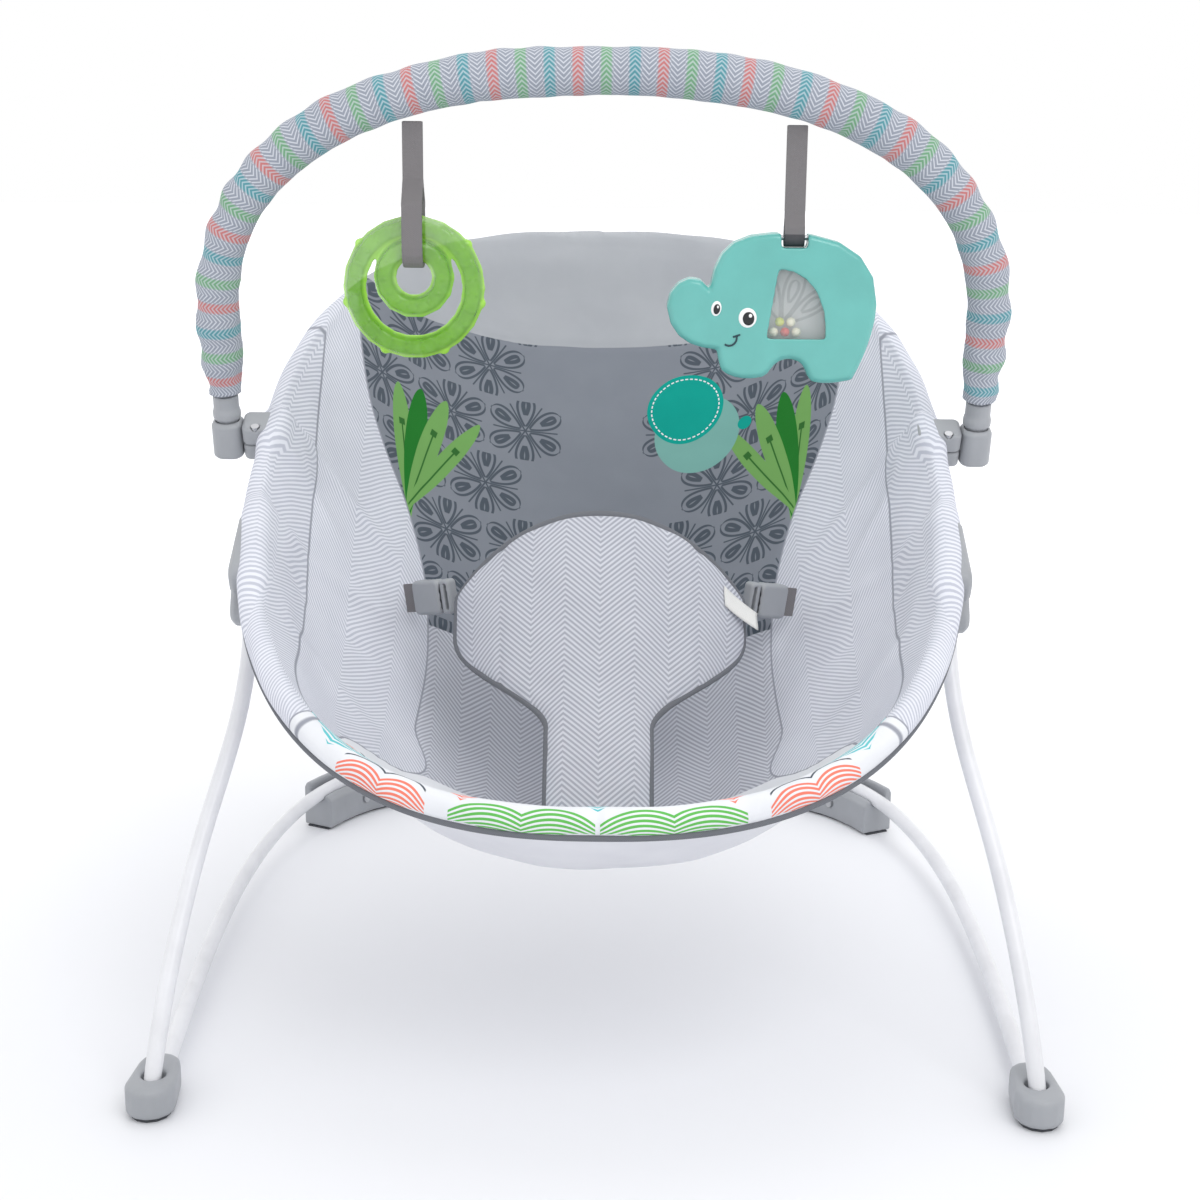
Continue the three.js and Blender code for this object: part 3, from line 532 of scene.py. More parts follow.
def bib_cloth():
    cloth = Cloth("bib_cloth", 0.9, **FABRIC)
    u, v = cloth.uv("flat")
    worn_cloth(cloth, cloth.mix(zigzag(u, v), BIB_GREY, BIB_WHITE), u, v)
    return cloth.material


SLEEVE_CHEVRON = 8 * MM  # one chevron along the bar; every other one is tinted
SLEEVE_START = 43.2 * MM
SLEEVE_PITCH = 2.9 * MM  # between stripes, round the bar
SLEEVE_LINE, SLEEVE_GROUND = rgb(152, 158, 170), rgb(206, 210, 218)
# (line, ground) of the tinted columns, from the right end of the bar
SLEEVE_TINTS = ((rgb(66, 150, 160), rgb(158, 190, 198)),
                (rgb(108, 168, 118), rgb(168, 194, 178)),
                (rgb(206, 112, 106), rgb(200, 176, 180)))


def sleeve_cloth():
    """Stacked chevrons round the bar, every other column tinted aqua, green or coral."""
    cloth = Cloth("sleeve_cloth", 0.9, **FABRIC)
    u, v = cloth.uv("flat")
    column = (u + SLEEVE_START) / SLEEVE_CHEVRON
    from_middle = abs(column.fract() - 0.5)
    order = column.floor() % (2 * len(SLEEVE_TINTS))
    flip = column.floor() % 2.0 * 2.0 - 1.0
    climb = from_middle * SLEEVE_CHEVRON * flip
    wave = ((v + climb) / SLEEVE_PITCH * (2 * math.pi)).sine()
    colour = cloth.mix(wave.ramp(0.1, 0.8), SLEEVE_LINE, SLEEVE_GROUND)
    for index, (line, ground) in enumerate(SLEEVE_TINTS):
        tinted = cloth.mix(wave.ramp(-0.3, 0.5), line, ground)
        here = abs(order - 2.0 * index).ramp(0.6, 0.4) * from_middle.ramp(0.46, 0.3)
        colour = cloth.mix(here * 0.8, colour, tinted)
    worn_cloth(cloth, colour, u, v)
    return cloth.material


def webbing_cloth(name, colour):
    """Woven tape: fine ribs across it, seen in object space."""
    cloth = Cloth(name, 0.85)
    x, y, z = cloth.split(cloth.position())
    rib = ((z + y) * (2 * math.pi / (1.1 * MM))).sine()
    cross = (x * (2 * math.pi / (0.9 * MM))).sine()
    height = rib * cross
    cloth.colour(cloth.mix(height.ramp(-0.6, 0.6), darker(colour, 0.8), colour))
    cloth.roughen(cloth.noise(cloth.position(), 800.0), 0.7, 0.92)
    cloth.bump((height, 0.6, 0.25 * MM))
    return cloth.material


def moulded(name, colour, roughness, grain, **settings):
    """Moulded plastic, rubber or paint: a fine grain, faint flow marks and uneven gloss."""
    cloth = Cloth(name, roughness, **settings)
    where = cloth.position()
    cloud = cloth.noise(where, 35.0, 4.0)
    fine = cloth.noise(where, 1800.0, 2.0)
    cloth.colour(cloth.mix(cloud.ramp(0.25, 0.75), darker(colour, 0.9), colour))
    cloth.roughen(cloth.noise(where, 120.0), roughness * 0.85, min(1.0, roughness * 1.2))
    cloth.bump((fine, grain, 0.15 * MM), (cloud, 0.05, 1 * MM))
    return cloth.material


PAINT = moulded("white_paint", rgb(226, 227, 231), 0.3, 0.06, Coat_Weight=0.3, Coat_Roughness=0.15)
PLASTIC = moulded("grey_plastic", rgb(160, 163, 168), 0.42, 0.2)
RUBBER = moulded("rubber", rgb(72, 74, 79), 0.85, 0.35)
STEEL = moulded("screw_steel", rgb(190, 191, 194), 0.32, 0.1, Metallic=0.9)
TEAL_SHELL = moulded("teal_plastic", rgb(100, 183, 176), 0.22, 0.03, Coat_Weight=0.5, Coat_Roughness=0.08)
WINDOW = moulded("clear_plastic", rgb(250, 252, 252), 0.06, 0.02, IOR=1.2, Alpha=0.12)
BLACK_INK = moulded("eye_black", rgb(26, 28, 32), 0.3, 0.05)
WHITE_INK = moulded("eye_white", rgb(250, 250, 250), 0.3, 0.05)
SMILE_INK = moulded("smile_ink", rgb(28, 62, 72), 0.35, 0.05)
WEBBING = webbing_cloth("toy_webbing", rgb(132, 129, 131))
FOLD_WEBBING = webbing_cloth("fold_webbing", rgb(84, 84, 88))
BINDING = webbing_cloth("grey_binding", PIPING_GREY)
LABEL = webbing_cloth("white_label", rgb(246, 246, 244))

# ---- rounding the CAD's own shapes -------------------------------------------------------------


def copy_of(node):
    """A free copy of a CAD node's mesh, as an object."""
    work = bmesh.new()
    work.from_mesh(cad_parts[node].data)
    bmesh.ops.remove_doubles(work, verts=work.verts, dist=0.02 * MM)
    mesh = bpy.data.meshes.new(node + "_look")
    work.to_mesh(mesh)
    work.free()
    return linked(node + "_look", mesh)


def softened(node, body, material, slot, voxel=0.9 * MM, passes=6):
    """A moulded part with its edges eased: a fine remesh of the CAD solid, smoothed a little."""
    piece = copy_of(node)
    remesh = piece.modifiers.new("remesh", "REMESH")
    remesh.mode = "VOXEL"
    remesh.voxel_size = voxel
    smooth = piece.modifiers.new("smooth", "SMOOTH")
    smooth.factor = 0.5
    smooth.iterations = passes
    apply_modifiers(piece)
    smooth_shaded(piece.data)
    return place(piece, body, material, slot, node)


def rounded_tube(node, body, material, slot, radius):
    """A drawn tube with a truly round section, from the CAD's eight-sided one."""
    piece = copy_of(node)
    work = bmesh.new()
    work.from_mesh(piece.data)
    bmesh.ops.join_triangles(work, faces=work.faces, angle_face_threshold=0.6, angle_shape_threshold=0.6)
    work.normal_update()
    for vertex in work.verts:
        vertex.co += vertex.normal * radius * 0.1
    work.to_mesh(piece.data)
    work.free()
    rounder = piece.modifiers.new("rounder", "SUBSURF")
    rounder.levels = rounder.render_levels = 2
    apply_modifiers(piece)
    smooth_shaded(piece.data)
    return place(piece, body, material, slot, node)


def hard_parts():
    rounded_tube("base_tube", "base", PAINT, "white_paint", 5 * MM)
    rounded_tube("upper_frame_tube", "seat", PAINT, "white_paint", FRAME_R)
    rounded_tube("lower_frame_tube", "seat", PAINT, "white_paint", FRAME_R)
    rounded_tube("toy_bar_tube", "toy_bar", PLASTIC, "grey_plastic", 6 * MM)
    for side in ("left_", "right_"):
        rounded_tube(side + "upright", "seat", PAINT, "white_paint", 4.75 * MM)
        for node in ("front_foot", "rear_foot"):
            softened(side + node, "base", PLASTIC, "grey_plastic")
        for node in ("front_foot_pad", "rear_foot_pad"):
            paint(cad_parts[side + node], RUBBER)
        for node in ("hub_outer_shell", "hub_inner_shell", "bar_clamp_upper", "bar_clamp_lower"):
            softened(side + node, "seat", PLASTIC, "grey_plastic", 0.7 * MM, 4)
        softened(side + "buckle_receptacle", "seat", PLASTIC, "grey_plastic", 0.7 * MM, 4)
        softened(side + "buckle_clip", side + "clip", PLASTIC, "grey_plastic", 0.7 * MM, 3)
        softened(side + "bar_cup", "bar_cups", PLASTIC, "grey_plastic", 0.7 * MM, 5)
        softened(side + "bar_end_plug", "toy_bar", PLASTIC, "grey_plastic", 0.7 * MM, 5)
        for node in ("rear_foot_screw", "hub_screw_lower", "hub_screw_upper", "bar_clamp_screw"):
            paint(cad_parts[side + node], STEEL)
    paint(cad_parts["rattle_strap_pin"], STEEL)


# ---- the sling ---------------------------------------------------------------------------------


def on_frame(across, along, depth):
    """Points of the tilted seat oval: across, up its slope, and depth below its plane."""
    c, s = math.cos(FRAME_TILT), math.sin(FRAME_TILT)
    y, z = FRAME_CENTRE
    return np.stack(np.broadcast_arrays(across, y + along * c + depth * s, z + along * s - depth * c), -1)


def power_at(along):
    return np.where(np.asarray(along) < 0, FRONT_POWER, BACK_POWER)


def oval(angle, inset=0.0):
    """Places on the seat oval (across, along) at angles round it, drawn in by an inset."""
    a, b = FRAME_HALF_WIDTH - inset, FRAME_HALF_LENGTH - inset
    c, s = np.cos(angle), np.sin(angle)
    power = power_at(s)
    reach = ((np.abs(c) / a) ** power + (np.abs(s) / b) ** power) ** (-1 / power)
    return reach * c, reach * s


def half_width(along, inset=SLING_INSET):
    """Half the oval's width at a place up its slope."""
    power = power_at(along)
    share = np.clip(np.abs(along) / (FRAME_HALF_LENGTH - inset), 0, 1)
    return (FRAME_HALF_WIDTH - inset) * (1 - share ** power) ** (1 / power)


def spline(knots, x):
    """A smooth line through knots given as (x, y) in mm."""
    xs, ys = np.array(knots, float).T * MM
    return smooth_through(xs, ys, x)


def smooth_through(xs, ys, x):
    """A smooth line through points, with each slope taken from the points beside it."""
    slopes = np.gradient(ys, xs)
    i = np.clip(np.searchsorted(xs, x) - 1, 0, len(xs) - 2)
    gap = xs[i + 1] - xs[i]
    t = np.clip((x - xs[i]) / gap, 0, 1)
    low = (1 + 2 * t) * (1 - t) ** 2 * ys[i] + t * (1 - t) ** 2 * gap * slopes[i]
    return low + t * t * (3 - 2 * t) * ys[i + 1] + t * t * (t - 1) * gap * slopes[i + 1]


def sling_depth(across, along):
    """How far the smooth cloth hangs below the oval's plane."""
    half = np.maximum(half_width(along), 1 * MM)
    wall = np.maximum(0, 1 - np.clip(np.abs(across) / half, 0, 1) ** SLING_WALL_POWER)
    return np.maximum(spline(SLING_DEPTH, along), 0) * wall


# Half the middle panels' width against the place up the slope, from the front edge to the top.
MIDDLE_PANEL = ((-300, 190), (-225, 168), (-205, 153), (-180, 146), (-155, 137), (-143, 116), (-90, 113),
                (-20, 110), (31, 116), (72, 129), (105, 145), (130, 155), (165, 163), (230, 170), (300, 172))
# The same for the seam between each side panel and the strip along its outer edge.
SIDE_STRIP = ((-300, 150), (-208, 150), (-190, 159), (-159, 168.6), (-106, 174.1), (-66, 176.6), (-14, 179.5),
              (37, 181.8), (70, 183.5), (150, 185), (300, 186))
FRONT_SEAM = -135 * MM
TOP_BAND_START = 208 * MM


def surface_lengths():
    """Distances measured on the cloth itself, sideways from the middle line and up from the oval's middle."""
    across = np.linspace(0, FRAME_HALF_WIDTH, 260)
    along = np.linspace(-FRAME_HALF_LENGTH, FRAME_HALF_LENGTH, 360)
    x, w = np.meshgrid(across, along, indexing="ij")
    depth = sling_depth(x, w)
    step_x, step_w = across[1], along[1] - along[0]
    side = np.cumsum(np.hypot(step_x, np.diff(depth, axis=0, prepend=depth[:1])), axis=0) - step_x
    up = np.cumsum(np.hypot(step_w, np.diff(depth, axis=1, prepend=depth[:, :1])), axis=1)
    up -= up[:, len(along) // 2][:, None]

    def sample(table, a, b):
        i = np.clip(np.abs(a) / step_x, 0, len(across) - 1.001)
        j = np.clip((b - along[0]) / step_w, 0, len(along) - 1.001)
        i0, j0 = i.astype(int), j.astype(int)
        fi, fj = i - i0, j - j0
        low = table[i0, j0] * (1 - fi) + table[i0 + 1, j0] * fi
        high = table[i0, j0 + 1] * (1 - fi) + table[i0 + 1, j0 + 1] * fi
        return low * (1 - fj) + high * fj
    return lambda a, b: (np.sign(a) * sample(side, a, b), sample(up, a, b))


def folds(across, along, u, v):
    """How far the cloth stands up from its smooth shape: pulls from the clamps and hubs, and ripples."""
    side = np.abs(across)
    lift = np.zeros_like(across)
    # (place along the rim, slope inwards, length, height)
    for start, slope, reach, height in ((CLAMP_ALONG + 20 * MM, -0.55, 92 * MM, 5.4 * MM),
                                        (CLAMP_ALONG + 4 * MM, -1.1, 60 * MM, 2.6 * MM),
                                        (HUB_ALONG + 30 * MM, 0.35, 78 * MM, 4.2 * MM),
                                        (HUB_ALONG + 6 * MM, 0.1, 84 * MM, -3.6 * MM),
                                        (HUB_ALONG - 28 * MM, -0.4, 80 * MM, 3.8 * MM)):
        inward = half_width(start) - side
        line = along - (start + slope * inward)
        fade = smoothstep(0, 12 * MM, inward) * (1 - smoothstep(0.35 * reach, reach, inward))
        lift += height * bell(line, 6.5 * MM) * fade
    lift += 1.1 * MM * wave_noise(u, v, 150 * MM, 1)
    lift += 0.5 * MM * wave_noise(u, v, 60 * MM, 4)
    return lift


def panel_edges(across, along):
    """How far inside the seams of the middle panels, top band, front panel and outer strips a place is."""
    steepness = (spline(MIDDLE_PANEL, along + 1 * MM) - spline(MIDDLE_PANEL, along - 1 * MM)) / (2 * MM)
    centre = (spline(MIDDLE_PANEL, along) - np.abs(across)) / np.hypot(1, steepness)
    top = along - TOP_BAND_START - 6 * MM * (1 - (across / FRAME_HALF_WIDTH) ** 2)
    front = FRONT_SEAM - along
    strip = np.abs(across) - spline(SIDE_STRIP, along)
    return centre, top, front, strip


def grip_bulge(across, along, turn):
    """How much further out the cloth lies where it covers a clamp or hub, by the angle round the tube."""
    at_side = np.abs(across) > 0.8 * half_width(along)
    clamp = 1 - smoothstep(11.5 * MM, 25 * MM, np.abs(along - CLAMP_ALONG))
    hub = 1 - smoothstep(30 * MM, 50 * MM, np.abs(along - HUB_ALONG - 2 * MM))
    over_clamp = 7.9 * MM * clamp * bell(turn - math.radians(125), math.radians(75))
    over_hub = 6.6 * MM * hub * bell(turn - math.radians(128), math.radians(72))
    return at_side * np.maximum(over_clamp, over_hub)


def seat_sling(lengths):
    turns, rings = 480, 130
    share = np.linspace(0, 1, rings) ** 0.8
    share[0] = 0.004
    angle = np.linspace(0, 2 * np.pi, turns, endpoint=False)
    edge_x, edge_w = oval(angle, SLING_INSET)
    across, along = share[:, None] * edge_x, share[:, None] * edge_w
    u, v = lengths(across, along)
    centre, top, front, strip = panel_edges(across, along)
    side = centre < 0
    groove = -1.3 * MM * bell(centre, 1.9 * MM) - 1.2 * MM * bell(strip, 1.7 * MM) * side
    groove -= 1.0 * MM * (bell(top, 1.8 * MM) + bell(front, 1.8 * MM)) * ~side
    groove -= 0.8 * MM * bell(v - SEAT_SEAM, 1.8 * MM) * ~side
    puff = 1.4 * MM * smoothstep(0, 14 * MM, np.minimum(np.abs(centre), np.where(side, np.abs(strip), 1)))
    inset = (1 - share[:, None]) * np.hypot(edge_x, edge_w)
    rest = smoothstep(0, 14 * MM, inset)
    lift = (folds(across, along, u, v) + groove + puff) * rest
    start = wrap_start(edge_w)
    stand = RIM_R * np.sin(start) - (SLING_INSET + RIM_R * np.cos(start)) * np.tan(start - np.pi / 2)
    depth = sling_depth(across, along) - lift - stand * (1 - smoothstep(0, 32 * MM, inset))
    inward = grip_bulge(edge_x, edge_w, start) * (1 - smoothstep(0, 26 * MM, inset))
    shift = 1 - inward / np.hypot(edge_x, edge_w)
    upper = on_frame(across * shift, along * shift, depth)
    rim_points, rim_u, rim_v = rim_wrap(angle)
    lower_share = share[::-3]
    low_x, low_w = lower_share[:, None] * edge_x, lower_share[:, None] * edge_w
    low_u, low_v = lengths(low_x, low_w)
    slack = 1.6 * MM * wave_noise(low_u, low_v, 90 * MM, 2) * smoothstep(1, 0.9, lower_share)[:, None]
    sag = sling_depth(low_x, low_w) + SLING_THICKNESS + 1.5 * MM + slack
    lower = on_frame(low_x, low_w, sag)
    piece = stitched_sling(angle, (upper, u, v, across, along), (rim_points, rim_u, rim_v),
                           (lower, low_u, low_v, low_x, low_w))
    wall = np.abs(u) - np.abs(lengths(spline(SIDE_STRIP, along), along)[0])
    wall = np.concatenate([wall, wall[-1] + rim_v - rim_v[0], 0 * low_u])
    add_number(piece, "wall", wall.ravel())
    return piece


RIM_R = FRAME_R + CLOTH
WRAP_RINGS = 23
WRAP_TOP, WRAP_END = math.radians(150), math.radians(-150)  # round the tube, up from its outer side
PIPING_TURN = math.radians(-38)  # where the cord is sewn in, below the rim's outer side


def wrap_start(along):
    """The angle round the tube, up from its outer side, where the seat's cloth comes down off it."""
    return WRAP_TOP - math.radians(21) * smoothstep(150 * MM, 270 * MM, along)


def rim_wrap(angle):
    """The cloth's sleeve round the frame tube, as rings that follow the oval."""
    x0, w0 = oval(angle)
    normal = rim_normal(angle)
    travel = np.concatenate([[0], np.cumsum(np.hypot(np.diff(x0), np.diff(w0)))])
    whole = travel[-1] + np.hypot(x0[0] - x0[-1], w0[0] - w0[-1])
    travel = travel - np.interp(1.5 * np.pi, angle, travel)
    travel = np.where(travel < -0.5 * whole, travel + whole, travel)
    hem = smoothstep(HUB_ALONG - 14 * MM, HUB_ALONG, w0) * (1 - smoothstep(150 * MM, 175 * MM, w0))
    hem = hem * (np.abs(x0) > 120 * MM)
    rings, us, vs = [], [], []
    for share in np.linspace(0, 1, WRAP_RINGS):
        turn = wrap_start(w0) * (1 - share) + WRAP_END * share
        ripple = 0.35 * MM * np.sin(travel / (9 * MM) + 3 * turn) * bell(turn - 1.2, 1.5)
        ridge = 1.2 * MM * hem * bell(turn - math.radians(112), math.radians(12))
        radius = RIM_R + ripple + ridge + grip_bulge(x0, w0, turn)
        out = radius * np.cos(turn)
        rings.append(on_frame(x0 + out * normal[0], w0 + out * normal[1], -radius * np.sin(turn)))
        us.append(travel)
        vs.append((WRAP_TOP - turn) * FRAME_R)
    return np.array(rings), np.array(us), np.array(vs)


def rim_normal(angle):
    x0, w0 = oval(angle)
    ahead_x, ahead_w = oval(angle + 0.001)
    tangent = np.stack([ahead_x - x0, ahead_w - w0])
    return np.stack([tangent[1], -tangent[0]]) / np.hypot(*tangent)


def stitched_sling(angle, upper, rim, lower):
    """Joins the upper face, the rim and the underside into one closed cloth with its print coordinates."""
    turns = len(angle)
    flat_u, flat_v = edge_coordinates(upper, rim, lower)
    points = np.concatenate([upper[0], rim[0], lower[0]]).reshape(-1, 3)
    rows = len(points) // turns
    faces = grid_faces(rows, turns, wrap_columns=True)
    faces.append(tuple(range(turns))[::-1])
    faces.append(tuple((rows - 1) * turns + j for j in range(turns)))
    piece = new_object("sling", points, faces)
    add_uv(piece, "flat", np.stack([flat_u, flat_v], -1).reshape(-1, 2))
    add_sling_edges(piece, angle, upper, rim, lower)
    outward(piece)
    return piece


def edge_coordinates(upper, rim, lower):
    """The zigzag's coordinates carried on over the rim."""
    rim_u = np.broadcast_to(upper[1][-1], rim[1].shape) + np.sign(upper[1][-1]) * rim[2]
    rim_v = np.broadcast_to(upper[2][-1], rim[1].shape)
    return (np.concatenate([upper[1], rim_u, lower[1]]), np.concatenate([upper[2], rim_v, lower[2]]))


def add_sling_edges(piece, angle, upper, rim, lower):
    across = np.concatenate([upper[3], np.broadcast_to(upper[3][-1], rim[1].shape), lower[3]])
    along = np.concatenate([upper[4], np.broadcast_to(upper[4][-1], rim[1].shape), lower[4]])
    for name, values in zip(EDGE_NAMES, panel_edges(across, along)):
        add_number(piece, name, values.ravel())
    under = np.zeros(across.shape)
    under[len(upper[0]):len(upper[0]) + len(rim[1])] = rim[2] > (WRAP_TOP - PIPING_TURN) * FRAME_R
    under[len(upper[0]) + len(rim[1]):] = 1
    add_number(piece, "under", under.ravel())
    travel = np.broadcast_to(rim[1][0], across.shape)
    reach = np.hypot(*oval(angle))
    inset = reach - np.hypot(across, along)
    around = np.concatenate([rim[2][0] - inset[:len(upper[0])], rim[2], rim[2][-1] + inset[-len(lower[0]):]])
    add_uv(piece, "rim", np.stack([travel, around], -1).reshape(-1, 2))


def tube_along(name, centres, radius, sides=10, closed=False):
    """A round tube through the given points."""
    centres = np.asarray(centres, float)
    tangent = np.gradient(centres, axis=0)
    if closed:
        tangent = np.roll(centres, -1, 0) - np.roll(centres, 1, 0)
    tangent /= np.linalg.norm(tangent, axis=1)[:, None]
    side = np.cross(tangent, (0, 0, 1))
    flat = np.linalg.norm(side, axis=1) < 0.05
    side[flat] = np.cross(tangent[flat], (0, 1, 0))
    side /= np.linalg.norm(side, axis=1)[:, None]
    up = np.cross(side, tangent)
    radii = np.broadcast_to(radius, (len(centres),))
    turns = np.linspace(0, 2 * np.pi, sides, endpoint=False)
    ring = centres[:, None] + radii[:, None, None] * (
        np.cos(turns)[None, :, None] * side[:, None] + np.sin(turns)[None, :, None] * up[:, None])
    faces = grid_faces(len(centres), sides, wrap_rows=closed, wrap_columns=True)
    if not closed:
        faces.append(tuple(range(sides))[::-1])
        faces.append(tuple((len(centres) - 1) * sides + j for j in range(sides)))
    piece = new_object(name, ring.reshape(-1, 3), faces)
    outward(piece)
    return piece


def rim_piping():
    """The dark cord sewn in all round, under the rim's outer side."""
    angle = np.linspace(0, 2 * np.pi, 420, endpoint=False)
    x0, w0 = oval(angle)
    normal = rim_normal(angle)
    radius = RIM_R + 0.5 * MM + grip_bulge(x0, w0, PIPING_TURN)
    out = radius * math.cos(PIPING_TURN)
    line = on_frame(x0 + out * normal[0], w0 + out * normal[1], -radius * math.sin(PIPING_TURN))
    cord = 1.3 * MM + 0.9 * MM * (1 - smoothstep(-260 * MM, -170 * MM, w0))
    return tube_along("rim_piping", line, cord, closed=True)


def build_sling():
    lengths = surface_lengths()
    material = seat_cloth(lambda across, along: [float(x) for x in lengths(across, along)])
    sling = seat_sling(lengths)
    panels = ("centre_panel", "front_panel", "left_side_panel", "right_side_panel")
    place(sling, "seat", material, "seat_fabric", *panels)
    place(rim_piping(), "seat", BINDING, "seat_fabric")


# ---- the toy bar's sleeve ----------------------------------------------------------------------

PIVOT_Y = FRAME_CENTRE[0] + CLAMP_ALONG * math.cos(FRAME_TILT)
PIVOT_Z = FRAME_CENTRE[1] + CLAMP_ALONG * math.sin(FRAME_TILT)


def on_bar(across, rise):
    """A point of the leaning plane that the toy bar lies in, up from its pivots."""
    return np.array([across, PIVOT_Y - rise * math.cos(BAR_LEAN), PIVOT_Z + rise * math.sin(BAR_LEAN)])


def bar_line(start, count):
    """Evenly spaced points along the whole bar from start up one leg to the same height on the other."""
    springing = BAR_RISE - BAR_ARCH
    legs = [on_bar(BAR_X, rise) for rise in np.linspace(start, springing, 60, endpoint=False)]
    arch = []
    for angle in np.linspace(0, np.pi / 2, 160):
        across = BAR_X * max(math.cos(angle), 0) ** (2 / BAR_POWER)
        arch.append(on_bar(across, springing + BAR_ARCH * math.sin(angle) ** (2 / BAR_POWER)))
    half = legs + arch
    whole = np.array(half + [p * (-1, 1, 1) for p in half[-2::-1]])
    travel = np.concatenate([[0], np.cumsum(np.linalg.norm(np.diff(whole, axis=0), axis=1))])
    even = np.linspace(0, travel[-1], count)
    return np.stack([np.interp(even, travel, whole[:, k]) for k in range(3)], 1), even


def bar_sleeve():
    count, sides = 620, 56
    line, travel = bar_line(31 * MM, count)
    end = travel[-1]
    tangent = np.gradient(line, axis=0)
    tangent /= np.linalg.norm(tangent, axis=1)[:, None]
    plane = np.array([0, math.sin(BAR_LEAN), math.cos(BAR_LEAN)])
    out = np.cross(tangent, plane)
    turns = np.linspace(0, 2 * np.pi, sides, endpoint=False)
    s, a = np.meshgrid(travel, turns, indexing="ij")
    near_end = np.minimum(s, end - s)
    radius = 12.6 * MM + 1.1 * MM * smoothstep(60 * MM, 260 * MM, near_end)
    radius -= 2.6 * MM * bell(near_end, 16 * MM)
    inner = 0.5 - 0.5 * np.cos(a)
    gather = 1.0 * MM * inner * np.sin(s / (4.1 * MM) + 0.9 * np.sin(s / (23 * MM)))
    gather *= 0.35 + 0.65 * (1 - smoothstep(60 * MM, 240 * MM, near_end))
    radius += gather + 0.7 * MM * wave_noise(s, a * 14 * MM, 46 * MM, 3)
    radius += 0.5 * MM * wave_noise(s, a * 14 * MM, 17 * MM, 5) * (1 - smoothstep(0, 150 * MM, near_end))
    round_bar = np.cos(a)[..., None] * out[:, None] + np.sin(a)[..., None] * plane
    points = list((line[:, None] + radius[..., None] * round_bar).reshape(-1, 3))
    faces = grid_faces(count, sides, wrap_columns=True)
    for ring, centre in ((0, line[0]), (count - 1, line[-1])):
        points.append(centre)
        last = len(points) - 1
        for j in range(sides):
            faces.append((ring * sides + j, ring * sides + (j + 1) % sides, last))
    piece = new_object("bar_sleeve", points, faces)
    uv = np.stack([s, a * 13.5 * MM], -1).reshape(-1, 2)
    add_uv(piece, "flat", np.concatenate([uv, [[0, 0], [end, 0]]]))
    outward(piece)
    return piece


# ---- the bib -----------------------------------------------------------------------------------

BIB = {"strip": 30 * MM, "wing": 97 * MM, "length": 205 * MM, "end_length": 160 * MM, "curl": 120 * MM}
BIB_LINE = ((-150, 127), (-126, 160), (-100, 191), (-68, 240), (-40, 284))


def bib_place(u, v, lift):
    """A point of the bib: u from -1 to 1 across, v from 0 to 1 up, lift above its middle surface."""
    ys, zs = np.array(BIB_LINE, float).T * MM
    knots = np.concatenate([[0], np.cumsum(np.hypot(np.diff(ys), np.diff(zs)))])
    fine = np.linspace(0, knots[-1], 200)
    line_y, line_z = smooth_through(knots, ys, fine), smooth_through(knots, zs, fine)
    slope_y, slope_z = np.gradient(line_y, fine), np.gradient(line_z, fine)
    along = v * (BIB["length"] + (BIB["end_length"] - BIB["length"]) * u * u)
    across = u * (BIB["strip"] + (BIB["wing"] - BIB["strip"]) * smoothstep(62 * MM, 132 * MM, along))
    at = np.clip(along / BIB["length"], 0, 1) * knots[-1]
    ty, tz = np.interp(at, fine, slope_y), np.interp(at, fine, slope_z)
    size = np.hypot(ty, tz)
    out_y, out_z = -tz / size, ty / size
    bend = across / BIB["curl"]
    back = BIB["curl"] * (np.cos(bend) - 1) + lift * np.cos(bend)
    x = (BIB["curl"] + lift) * np.sin(bend)
    y = np.interp(at, fine, line_y) + MIDDLE_SHIFT + back * out_y
    z = np.interp(at, fine, line_z) + back * out_z
    return np.stack([x, y, z], -1), across, along


def bib():
    columns, rows = 72, 120
    u, v = np.meshgrid(np.linspace(-1, 1, columns), np.linspace(0, 1, rows))
    edge = np.minimum(1 - np.abs(u), np.minimum(v, 1 - v) * 1.6)
    _, across, along = bib_place(u, v, np.zeros_like(u))
    crown = 1.2 * MM + 3.0 * MM * np.sqrt(np.clip(edge / 0.22, 0, 1))
    ripple = 0.7 * MM * wave_noise(across, along, 55 * MM, 6)
    seam = -0.9 * MM * bell(np.abs(across) - 60 * MM, 1.8 * MM)
    front, _, _ = bib_place(u, v, crown + ripple + seam)
    back, _, _ = bib_place(u, v, -crown)
    piece = two_faced("bib", front, back)
    uv = np.stack([across, along], -1).reshape(-1, 2)
    add_uv(piece, "flat", np.concatenate([uv, uv]))
    outward(piece)
    return piece


def bib_binding():
    """Grey binding round the bib's sides and top."""
    side, top = np.linspace(0, 1, 90), np.linspace(-1, 1, 120)[1:-1]
    u = np.concatenate([-np.ones_like(side), top, np.ones_like(side)])
    v = np.concatenate([side, np.ones_like(top), side[::-1]])
    line, _, _ = bib_place(u, v, np.zeros_like(u))
    return tube_along("bib_binding", line, 2.3 * MM)


def build_bib():
    pad = bib()
    place(pad, "seat", bib_cloth(), "seat_fabric", "restraint_pad")
    place(bib_binding(), "seat", BINDING, "seat_fabric")
    place(blank_label(), "seat", LABEL, "seat_fabric")
    for side in ("left_", "right_"):
        paint(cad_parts[side + "waist_strap"], WEBBING)


def blank_label():
    """A small folded label with nothing on it, sewn into the bib's right side."""
    columns, rows = 12, 8
    u, v = np.meshgrid(np.linspace(0.80, 1.0, columns), np.linspace(0.86, 0.935, rows))
    stand = 5.2 * MM + 7 * MM * ((u - 0.8) / 0.2) ** 2 + 0.4 * MM * np.sin(v * 60)
    top, _, _ = bib_place(u, v, stand)
    low, _, _ = bib_place(u, v, stand - 0.7 * MM)
    piece = two_faced("blank_label", top, low)
    outward(piece)
    return piece


